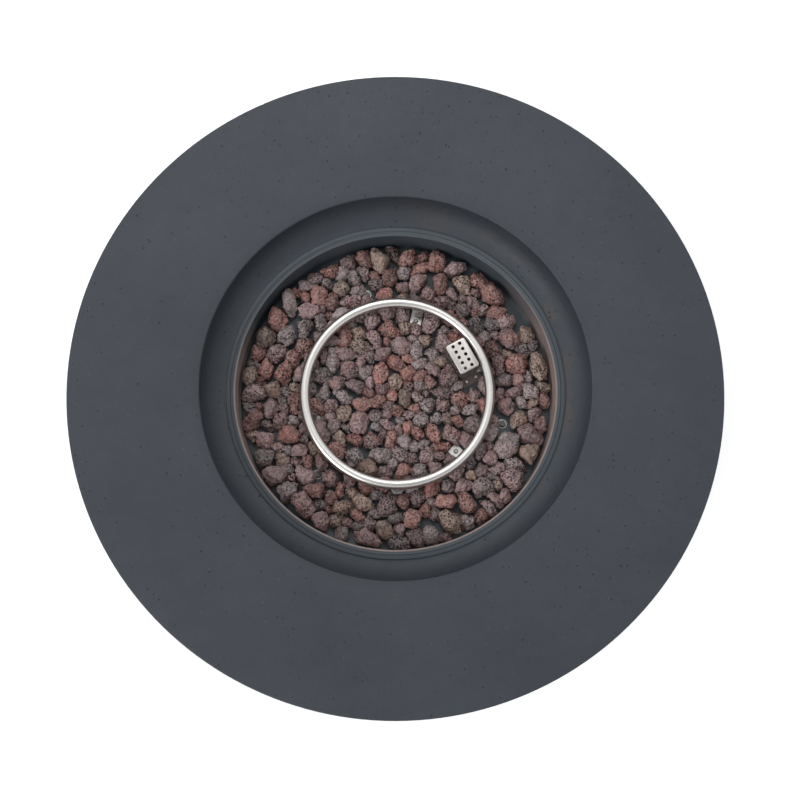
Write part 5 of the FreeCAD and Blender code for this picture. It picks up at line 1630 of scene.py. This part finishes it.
@dataclass
class RockBed:
    """The loose lava stones on the pan floor, in four colour families."""

    families: dict[str, LavaStone] = field(
        default_factory=lambda: {
            name: LavaStone(f"lava {name}", rgb(*dark), rgb(*light), rgb(*tint))
            for name, dark, light, tint in (
                ("grey", (0.125, 0.107, 0.109), (0.740, 0.600, 0.600), (0.520, 0.280, 0.260)),
                ("purple", (0.130, 0.084, 0.087), (0.740, 0.490, 0.485), (0.620, 0.270, 0.240)),
                ("rust", (0.175, 0.075, 0.066), (0.820, 0.400, 0.340), (0.780, 0.270, 0.210)),
                ("tan", (0.190, 0.134, 0.106), (0.760, 0.540, 0.430), (0.700, 0.390, 0.290)),
            )
        }
    )
    halves: dict[str, int] = field(default_factory=lambda: {"west": -1, "east": 1})
    ring_x: float = RING_X
    fixtures: tuple[Place, ...] = (
        (-43.5, 128 * MM, 10 * MM),
        (76.5, 128 * MM, 10 * MM),
        (22.0, 121 * MM, 13 * MM),
        (36.0, 121 * MM, 13 * MM),
        (-90.0, RING_RADIUS, 12 * MM),
        (-14.5, 174 * MM, 8 * MM),
        (105.5, 176 * MM, 5 * MM),
        (225.5, 176 * MM, 5 * MM),
    )
    pan_reach: float = 246 * MM
    near: float = 60 * MM
    lap: float = 1.2 * MM
    spread: float = 1.6
    stretches: Point = (1.05, 1.5)
    lengthening: Point = (1.0, 1.3)
    lean: float = 14.0
    bed_z: float = BED_Z
    roof_z: float = 350.5 * MM
    roof_reach: float = 168 * MM
    outer_roof_z: float = 364 * MM
    rises: tuple[float, ...] = (0.3, 0.3, 0.3, 0.3, 0.3, 1.4, 1.4, 1.4, 1.4)
    flat_places: Point = (0.6, 0.92)
    lumps: Place = (13 * MM, 6 * MM, 0.45)
    pits: Place = (4.6 * MM, 4.0 * MM, 0.5)

    def textures(self) -> tuple[bpy.types.Texture, bpy.types.Texture]:
        """The lumps and the pits that the stones' skins are pushed by.

        Returns:
            The texture of the lumps and that of the pits.
        """
        lumps = bpy.data.textures.new("stone lumps", "CLOUDS")
        lumps.noise_scale = self.lumps[0]
        lumps.noise_depth = 3
        pits = bpy.data.textures.new("stone pits", "VORONOI")
        pits.noise_scale = self.pits[0]
        pits.noise_intensity = 1.4
        return lumps, pits

    def islands(self, mesh: bmesh.types.BMesh) -> list[list[bmesh.types.BMVert]]:
        """The vertices of each separate stone.

        Args:
            mesh: The mesh that holds the stones.

        Returns:
            The stones in the order of their first vertices.
        """
        left, found = set(mesh.verts), []
        while left:
            group, queue = [], [left.pop()]
            while queue:
                vertex = queue.pop()
                group.append(vertex)
                for edge in vertex.link_edges:
                    other = edge.other_vert(vertex)
                    if other in left:
                        left.remove(other)
                        queue.append(other)
            found.append(sorted(group, key=lambda v: v.index))
        return sorted(found, key=lambda g: g[0].index)

    def middle(self, group: Sequence[bmesh.types.BMVert]) -> Vector:
        """The middle of a stone's corners in plan."""
        return sum((vertex.co.xy for vertex in group), Vector((0, 0))) / len(group)

    def welded(self, node: str) -> Piece:
        """A copy of one node's stones, with its triangles joined into closed stones.

        Args:
            node: The name of the solids' node.

        Returns:
            The new object.
        """
        stones = twin(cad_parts[node])
        stones.parent = None
        for key in list(stones.keys()):
            del stones[key]
        stones.hide_viewport = stones.hide_render = False
        edit_all(stones, (bpy.ops.mesh.remove_doubles, {"threshold": 0.02 * MM}))
        return stones

    def patches(self, sources: Sequence[Piece]) -> list[Patch]:
        """The plan of every stone, each with a drawn long axis, and of every fixture.

        Args:
            sources: The welded stones of all families.

        Returns:
            The fixtures' patches and then the stones'.
        """
        found = []
        for angle, radius, size in self.fixtures:
            x, y = polar(radius, angle)
            found.append(Patch(self.ring_x + x, y, size))
        draw = random.Random(8)
        for source in sources:
            with opened(source) as mesh:
                for group in self.islands(mesh):
                    centre = self.middle(group)
                    size = max((vertex.co.xy - centre).length for vertex in group)
                    turn, stretch = draw.uniform(0, math.pi), draw.uniform(*self.stretches)
                    found.append(Patch(centre.x, centre.y, size, turn, stretch))
        return found

    def half(self, source: Piece, side: int, seed: int) -> Piece:
        """The stones on one side, each with its own drawn colour values.

        Args:
            source: The welded stones of one family.
            side: The sign of X on that side.
            seed: The seed of the drawn values, kept in the mesh attribute named stone.

        Returns:
            The new object.
        """
        stones = twin(source)
        draw = random.Random(seed)
        with opened(stones) as mesh:
            layer = mesh.verts.layers.float_color.new("stone")
            others = []
            for group in self.islands(mesh):
                values = Vector([draw.random() for _ in range(3)] + [1.0])
                if side * self.middle(group).x < 0:
                    others += group
                for vertex in group:
                    vertex[layer] = values
            bmesh.ops.delete(mesh, geom=others, context="VERTS")
        return stones

    def fit(self, group: Sequence[bmesh.types.BMVert], patches: Sequence[Patch]) -> None:
        """Spreads one stone in plan until it laps its neighbours or meets the pan's wall.

        Args:
            group: The stone's vertices.
            patches: All the patches.
        """
        centre = self.middle(group)
        own = min(patches, key=lambda p: p.away(centre.x, centre.y))
        near = [p for p in patches if p is not own and p.away(own.x, own.y) < self.near]
        places = [vertex.co.xy - centre for vertex in group]
        for vertex, place in zip(group, places):
            if place.length < HAIR:
                continue
            way = place.normalized()
            angle = math.atan2(way.y, way.x)
            edge = max(other.dot(way) for other in places)
            past = centre.dot(way)
            wall = math.sqrt(past**2 + self.pan_reach**2 - centre.length_squared) - past
            room = min([own.room(angle, other) + self.lap for other in near] + [wall])
            reach = min(room, self.spread * own.across(angle))
            vertex.co.xy = centre + place * reach / edge

    def split(self, group: Sequence[bmesh.types.BMVert], draw: random.Random) -> None:
        """Lengthens and leans one stone and presses flats on it, as a crusher splits it.

        Args:
            group: The stone's vertices.
            draw: Where the random values come from.
        """
        centre = sum((vertex.co for vertex in group), Vector()) / len(group)
        long = draw.uniform(*self.lengthening)
        turn = Matrix.Rotation(draw.uniform(0, math.pi), 3, "Z")
        lean = Matrix.Rotation(math.radians(draw.uniform(-self.lean, self.lean)), 3, "Y")
        shape = turn @ lean @ Matrix.Diagonal((long, 1 / long, 1)) @ turn.transposed()
        for vertex in group:
            vertex.co = centre + shape @ (vertex.co - centre)
        for rise in self.rises:
            way = Vector((draw.gauss(0, 1), draw.gauss(0, 1), rise * draw.random())).normalized()
            heights = [(vertex.co - centre).dot(way) for vertex in group]
            cut = max(heights) * draw.uniform(*self.flat_places)
            for vertex, height in zip(group, heights):
                if height > cut:
                    vertex.co -= way * (height - cut)

    def bedded(self, stones: Piece) -> None:
        """Keeps the stones on the pan's floor, inside its wall and under the ring.

        Args:
            stones: The stones of one half.
        """
        for vertex in stones.data.vertices:
            away = vertex.co.xy.length
            if away > self.pan_reach:
                vertex.co.xy *= self.pan_reach / away
            roof = self.roof_z if away < self.roof_reach else self.outer_roof_z
            vertex.co.z = min(max(vertex.co.z, self.bed_z), roof)

    def build(self) -> None:
        """Fits, splits, roughens and colours each family's stones, one half at a time."""
        divide, ease = bpy.ops.mesh.subdivide, bpy.ops.mesh.vertices_smooth
        finer = ((divide, {"number_cuts": 1}), (ease, {"factor": 0.4, "repeat": 1}))
        skins = list(zip(self.textures(), (self.lumps, self.pits)))
        nodes = {family: f"lava_rocks_{family}" for family in self.families}
        sources = {family: self.welded(node) for family, node in nodes.items()}
        patches = self.patches(list(sources.values()))
        for number, (family, finish) in enumerate(self.families.items()):
            for half, side in self.halves.items():
                stones = self.half(sources[family], side, number)
                edit_all(stones, (divide, {"number_cuts": 1, "smoothness": 0.3}))
                with opened(stones) as mesh:
                    for group in self.islands(mesh):
                        self.fit(group, patches)
                edit_all(stones, *finer, *finer)
                draw = random.Random(number * 2 + side)
                with opened(stones) as mesh:
                    for group in self.islands(mesh):
                        self.split(group, draw)
                edit_all(stones, (ease, {"factor": 0.35, "repeat": 1}))
                for texture, (_, depth, middle) in skins:
                    how = {"strength": depth, "mid_level": middle, "texture_coords": "GLOBAL"}
                    modify(stones, "DISPLACE", texture=texture, **how)
                self.bedded(stones)
                smooth(stones, 180)
                covers = [nodes[family]] if side < 0 else []
                finished(stones, f"stones_{family}_{half}", finish, covers)
            bpy.data.objects.remove(sources[family])


@dataclass
class Controls:
    """The knob, its dial and the igniter cap in the front niche."""

    z: float = CONTROL_Z
    knob_x: float = KNOB_X
    knob_back: float = -407.4 * MM
    knob_length: float = 26 * MM
    knob_round: float = 0.9 * MM
    skirt_radius: float = 23 * MM
    skirt: float = 7 * MM
    grip_radius: float = 18 * MM
    flutes: int = 8
    flute_radius: float = 4.5 * MM
    flute_stop: float = 5 * MM
    bore: float = 3.05 * MM
    bore_depth: float = 16 * MM
    pointer: Point = (17.2 * MM, 21.2 * MM)
    pointer_faces: Point = (-0.9 * MM, 0.2 * MM)
    dial_radius: float = 31 * MM
    dial_hole: float = 7 * MM
    dial_front: float = -402.4 * MM
    dial_back: float = -401.2 * MM
    dial_cut: Point = (-390 * MM, -410 * MM)
    dial_round: float = 0.35 * MM
    marks: int = 13
    mark_inner: float = 24.4
    mark_lengths: Point = (2.6, 1.5)
    mark_radius: float = 0.28 * MM
    words: tuple[tuple[str, float], ...] = (("OFF", 90), ("HI", 0), ("LO", -90))
    word_reach: float = 28.6 * MM
    word_size: float = 3.4 * MM
    word_rise: float = 0.12 * MM
    button_x: float = BUTTON_X
    button_radius: float = 8.5 * MM
    button_front: float = -410.2 * MM
    button_length: float = 19 * MM
    button_rim: float = 1.6 * MM
    button_dish: float = 0.5 * MM
    button_wall: float = 2 * MM
    button_round: float = 0.6 * MM

    def disc(self, x: float, radius: float, start: float, end: float, sides: int) -> Piece:
        """A rod on a control's axis between two places along Y."""
        return rod(radius, (x, start, self.z), (x, end, self.z), sides)

    def on_dial(self, radius: float, degrees: float) -> Place:
        """A point on the dial's face."""
        x, z = polar(radius, degrees)
        return self.knob_x + x, self.dial_front, self.z + z

    def eased(self, piece: Piece, width: float, segments: int, limit: float) -> None:
        """Rounds the edges of a piece where they are sharper than a limit.

        Args:
            piece: The piece.
            width: The width of the rounding.
            segments: How many flat strips it has.
            limit: The least angle that is rounded, in radians.
        """
        how = {"limit_method": "ANGLE", "angle_limit": limit}
        modify(piece, "BEVEL", width=width, segments=segments, **how)
        smooth(piece, 40)

    def knob(self) -> None:
        """Turns the knob's skirt and fluted grip and inlays its pointer."""
        x, z, back = self.knob_x, self.z, self.knob_back
        face, front = back - self.skirt, back - self.knob_length
        knob = self.disc(x, self.skirt_radius, back, face, 96)
        carve(knob, [self.disc(x, self.grip_radius, back - MM, front, 96)], "UNION")
        flute = rod(self.flute_radius, (x, face, z), (x, front - self.flute_stop, z), 24)
        middles = [polar(self.grip_radius + 0.5 * self.flute_radius, a) for a in evenly(self.flutes)]
        carve(knob, dealt(flute, [(across, 0, up) for across, up in middles]))
        carve(knob, [self.disc(x, self.bore, back + MM, back - self.bore_depth, 24)])
        self.eased(knob, self.knob_round, 3, 0.7)
        finished(knob, "knob_grip", BLACK_PLASTIC, ["control_knob"], Body.KNOB)
        front, rear = (face + step for step in self.pointer_faces)
        low, high = self.pointer
        mark = block((x - MM, front, z + low), (x + MM, rear, z + high))
        modify(mark, "BEVEL", width=0.3 * MM, segments=2)
        smooth(mark)
        finished(mark, "knob_pointer", POINTER_PAINT, body=Body.KNOB)

    def word(self, text: str, degrees: float) -> Piece:
        """One plain word that stands a hair out of the dial.

        Args:
            text: The word.
            degrees: Its place on the dial.

        Returns:
            The word as a mesh.
        """
        bpy.ops.object.text_add(rotation=(QUARTER, 0, 0))
        made = bpy.context.object
        made.data.body = text
        made.data.size = self.word_size
        made.data.align_x, made.data.align_y = "CENTER", "CENTER"
        made.data.extrude = self.word_rise
        made.location = self.on_dial(self.word_reach, degrees)
        focus(made)
        bpy.ops.object.convert(target="MESH")
        return settle(bpy.context.object)

    def dial(self) -> None:
        """Cuts the dial ring and prints its marks and plain words."""
        disc = self.disc(self.knob_x, self.dial_radius, self.dial_back, self.dial_front, 96)
        carve(disc, [self.disc(self.knob_x, self.dial_hole, *self.dial_cut, 48)])
        self.eased(disc, self.dial_round, 2, 0.7)
        finished(disc, "dial_ring", DIAL_CHROME, ["knob_bezel"])
        marks = []
        for step in range(self.marks):
            angle = 90 - 15 * step
            outer = self.mark_inner + self.mark_lengths[0 if step % 6 == 0 else 1]
            start = self.on_dial(self.mark_inner * MM, angle)
            marks.append(rod(self.mark_radius, start, self.on_dial(outer * MM, angle), 8))
        marks += [self.word(text, degrees) for text, degrees in self.words]
        finished(joined(marks), "dial_marks", DIAL_INK)

    def button(self) -> None:
        """Moulds the igniter's domed push cap, hollow at the back."""
        front, length = self.button_front, self.button_length
        cap = self.disc(self.button_x, self.button_radius, front + length, front, 64)
        deep = {"value": (0, self.button_wall - length, 0)}
        with editing(cap):
            pick(cap, Part.FACES, lambda face: face.normal.y < -0.9)
            bpy.ops.mesh.inset(thickness=self.button_rim)
            bpy.ops.transform.translate(value=(0, self.button_dish, 0))
            pick(cap, Part.FACES, lambda face: face.normal.y > 0.9)
            bpy.ops.mesh.inset(thickness=self.button_wall)
            bpy.ops.mesh.extrude_region_move(TRANSFORM_OT_translate=deep)
        self.eased(cap, self.button_round, 3, 0.9)
        finished(cap, "push_cap", BUTTON_PLASTIC, ["igniter_button"], Body.BUTTON)

    def build(self) -> None:
        """Makes the niche's three controls."""
        self.knob()
        self.dial()
        self.button()


@dataclass(frozen=True)
class Spring:
    """One coil spring along Y. It stands on its back end, and a joint pushes its front in."""

    node: str
    body: Body
    joint: str
    x: float
    front: float
    radius: float
    travel: float


@dataclass
class Springs:
    """The springs behind the knob and the igniter cap."""

    back: float = -385.68 * MM
    z: float = CONTROL_Z
    wire: float = 0.9 * MM
    sides: int = 10
    turns: int = 4
    steps: int = 24
    springs: tuple[Spring, ...] = (
        Spring("stem_spring", Body.PLUG, "knob_push", KNOB_X, -393.68 * MM, 4.9 * MM, 4 * MM),
        Spring("button_spring", Body.TABLE, "igniter_press", BUTTON_X, -408.18 * MM, 5 * MM, 4.5 * MM),
    )

    def wound(self, radius: float, length: float) -> Piece:
        """A coil of round wire with closed ends, as long as asked for.

        Args:
            radius: The radius to the middle of the wire.
            length: The length over all.

        Returns:
            The new object.
        """
        bpy.ops.mesh.primitive_circle_add(
            vertices=self.sides,
            radius=self.wire / 2,
            location=(radius, 0, 0),
            rotation=(QUARTER, 0, 0),
        )
        coil = settle(bpy.context.object)
        rise = (length - self.wire) / self.turns
        modify(coil, "SCREW", iterations=self.turns, screw_offset=rise, steps=self.steps)
        outward = (bpy.ops.mesh.normals_make_consistent, {"inside": False})
        edit_all(coil, (bpy.ops.mesh.fill_holes, {"sides": 0}), outward)
        return coil

    def build(self) -> None:
        """Winds each spring from round wire and sets it on its body."""
        for spring in self.springs:
            length = self.back - spring.front
            coil = self.wound(spring.radius, length)
            coil.rotation_euler.x = QUARTER
            coil.location = (spring.x, self.back - self.wire / 2, self.z)
            smooth(settle(coil), 50)
            name = f"{spring.node}_coil"
            finished(coil, name, SPRING_STEEL, [spring.node], spring.body)
            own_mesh(coil)


@dataclass
class Hardware:
    """The rigid CAD pieces whose shapes are right, which only need their finishes."""

    finishes: tuple[tuple[Finish, str], ...] = (
        (RUBBER, "foot_pads"),
        (BRIGHT, "ring_brackets"),
        (GALVANISED, "heat_shield"),
        (HEATED, "pilot_plate"),
        (CERAMIC, "spark_electrode"),
        (BRUSHED_PANEL, "control_panel"),
        (BATTERY, "igniter_battery"),
        (COPPER, "probe_lead"),
        (SLEEVE, "spark_lead"),
        (SATIN, "pilot_screws flame_probe spark_pin"),
        (CAST_ALUMINIUM, "air_mixer valve_body"),
        (BLACK_PLASTIC, "igniter_body igniter_nut"),
        (PIPE_ALUMINIUM, "burner_pipe supply_pipe pilot_gas_tube"),
        (ZINC, "feed_locknuts ring_bracket_screws shield_spacers shield_nuts"),
        (ZINC, "valve_stem panel_screws valve_screws"),
        (BRASS, "pilot_jet orifice_fitting pipe_nuts gas_inlet inlet_locknut"),
        (BRASS, "valve_gland magnet_unit valve_plug"),
    )

    def build(self) -> None:
        """Puts each finish in its pieces' material slots."""
        for finish, names in self.finishes:
            for name in names.split():
                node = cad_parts[name]
                if not node.material_slots:
                    node.data.materials.append(None)
                for place in node.material_slots:
                    place.material = finish.material()
                log.info("%s: %s", name, finish.title)


@dataclass(frozen=True)
class Softbox:
    """One soft light.

    The width is in metres for a box and in radians for a far one. The power is in watts for a
    box and in watts per square metre for a far one.
    """

    name: str
    place: Place
    width: float
    power: float
    far: bool = False


@dataclass
class Studio:
    """The pale floor, the soft light from the upper left and the camera."""

    eye: Place = (0.0, -0.42831, 2.41942)
    elevation: float = 77.85
    focal: float = 1339.0
    frame_size: float = 800.0
    aim: Point = (395.63, 383.10)
    sensor: float = 36.0
    clip: Point = (0.05, 60.0)
    ambient: float = 0.42
    floor_size: float = 30.0
    glow: float = 0.62
    glow_edge: Point = (0.30, 0.33)
    light_aim: Place = (0.0, 0.0, 0.35)
    lights: tuple[Softbox, ...] = (
        Softbox("back light", (-0.35, 1.7, 2.9), 1.8, 22.0),
        Softbox("side light", (-2.0, -1.65, 2.1), 0.55, 1.2, True),
    )
    card_radius: float = 1.5
    card_core: float = 0.1
    card_dark: float = 0.25
    card_shift: Place = (0.2, -0.75, 0.12)

    def camera(self) -> None:
        """Places the camera so that the middle of the table top falls on its pixel."""
        tilt = math.radians(self.elevation)
        right = Vector((1, 0, 0))
        up = Vector((0, math.sin(tilt), math.cos(tilt)))
        ahead = Vector((0, math.cos(tilt), -math.sin(tilt)))
        a = math.atan((self.aim[0] - self.frame_size / 2) / self.focal)
        b = math.atan((self.frame_size / 2 - self.aim[1]) / self.focal)
        level = right * math.sin(-a) + ahead * math.cos(-a)
        forward = level * math.cos(-b) + up * math.sin(-b)
        side = right * math.cos(-a) - ahead * math.sin(-a)
        lift = up * math.cos(-b) - level * math.sin(-b)
        turn = Matrix((side, lift, -forward)).transposed()
        data = bpy.data.cameras.new("camera")
        data.sensor_width = self.sensor
        data.lens = self.sensor * self.focal / self.frame_size
        data.clip_start, data.clip_end = self.clip
        camera = bpy.data.objects.new("camera", data)
        camera.matrix_world = Matrix.Translation(self.eye) @ turn.to_4x4()
        bpy.context.scene.collection.objects.link(camera)
        bpy.context.scene.camera = camera

    def seen(self, w: Wiring) -> Socket:
        """One for camera, mirror and glass rays, and zero for diffuse ones."""
        path = w.node("ShaderNodeLightPath")
        sharp = w.most(path["Is Camera Ray"], path["Is Glossy Ray"])
        return w.most(sharp, path["Is Transmission Ray"])

    def from_middle(self, w: Wiring) -> Socket:
        """The distance from the middle of the piece that is shaded."""
        return w.vector("LENGTH", w.place())["Value"]

    def mixed(self, w: Wiring, share: Any, first: Socket, second: Socket) -> Socket:
        """One shader where the share is zero, and the other one where it is one."""
        return w.node("ShaderNodeMixShader", {0: share, 1: first, 2: second})[0]

    def shining(self, w: Wiring, strength: Any) -> Socket:
        """Plain white light."""
        return w.node("ShaderNodeEmission", {0: rgb(1, 1, 1), 1: strength})[0]

    def world(self) -> None:
        """An even dim sky that looks white to the camera."""
        world = bpy.data.worlds.new("studio")
        bpy.context.scene.world = world
        w = emptied(world)
        sky = w.node("ShaderNodeBackground", {0: rgb(0.97, 0.98, 1.0), 1: self.ambient})[0]
        white = w.node("ShaderNodeBackground", {0: rgb(1, 1, 1), 1: 1.0})[0]
        w.node("ShaderNodeOutputWorld", {0: self.mixed(w, self.seen(w), sky, white)})

    def staged(self, name: str, title: str) -> Wiring:
        """Names the piece that was just added, makes it stage and gives it a bare material.

        Args:
            name: The piece's name.
            title: The material's name.

        Returns:
            The wiring of the new material.
        """
        piece = bpy.context.object
        piece.name = name
        material = bpy.data.materials.new(title)
        piece.data.materials.append(material)
        return emptied(material)

    def floor(self) -> None:
        """A pale floor that looks white where nothing shades it, and that is clear from below."""
        bpy.ops.mesh.primitive_plane_add(size=self.floor_size, location=(0, 0, 0))
        w = self.staged("floor", "floor")
        matt = w.node("ShaderNodeBsdfDiffuse", {0: rgb(0.82, 0.82, 0.82)})[0]
        shown = w.span(self.from_middle(w), *self.glow_edge, 0.0, self.glow)
        both = w.node("ShaderNodeAddShader", {0: matt, 1: self.shining(w, shown)})[0]
        above_it = self.mixed(w, self.seen(w), matt, both)
        clear = w.node("ShaderNodeBsdfTransparent")[0]
        below = w.node("ShaderNodeNewGeometry")["Backfacing"]
        w.node("ShaderNodeOutputMaterial", {0: self.mixed(w, below, above_it, clear)})

    def card(self) -> None:
        """A card over the camera that only reflections show, dark in its middle."""
        place = Vector(self.eye) + Vector(self.card_shift)
        bpy.ops.mesh.primitive_circle_add(
            vertices=48, radius=self.card_radius, fill_type="NGON", location=place
        )
        card = bpy.context.object
        for ray in ("camera", "diffuse", "transmission", "shadow"):
            setattr(card, f"visible_{ray}", False)
        w = self.staged("dark_card", "dark card")
        core, edge = self.card_core, self.card_radius
        shade = w.span(self.from_middle(w), core, edge, self.card_dark, 1.0)
        w.node("ShaderNodeOutputMaterial", {0: self.shining(w, shade)})

    def light(self, box: Softbox) -> None:
        """Hangs a soft light and turns it to the middle of the table.

        Args:
            box: The light.
        """
        data = bpy.data.lights.new(box.name, "SUN" if box.far else "AREA")
        if box.far:
            data.angle = box.width
        else:
            data.shape = "DISK"
            data.size = box.width
        data.energy = box.power
        lamp = bpy.data.objects.new(box.name, data)
        lamp.location = box.place
        aim = Vector(self.light_aim) - Vector(box.place)
        lamp.rotation_euler = aim.to_track_quat("-Z", "Y").to_euler()
        bpy.context.scene.collection.objects.link(lamp)

    def build(self) -> None:
        """Makes the camera, the floor, the card and the lights."""
        bpy.context.scene.view_settings.view_transform = "Standard"
        self.camera()
        self.world()
        self.floor()
        self.card()
        for box in self.lights:
            self.light(box)


@dataclass
class FirePitTable:
    """The whole dressed table in its studio."""

    studio: Studio = field(default_factory=Studio)
    bowl: Bowl = field(default_factory=Bowl)
    pan: Pan = field(default_factory=Pan)
    ring: RingBurner = field(default_factory=RingBurner)
    hood: PilotHood = field(default_factory=PilotHood)
    screws: FloorScrews = field(default_factory=FloorScrews)
    rocks: RockBed = field(default_factory=RockBed)
    controls: Controls = field(default_factory=Controls)
    springs: Springs = field(default_factory=Springs)
    hardware: Hardware = field(default_factory=Hardware)

    def build(self) -> None:
        """Builds the sub-assemblies in order."""
        for entry in fields(self):
            log.info("building %s", entry.name)
            getattr(self, entry.name).build()


def main() -> None:
    """Dresses the table and reports each piece."""
    logging.basicConfig(level=logging.INFO, format="%(message)s")
    FirePitTable().build()


if __name__ == "__main__":
    main()
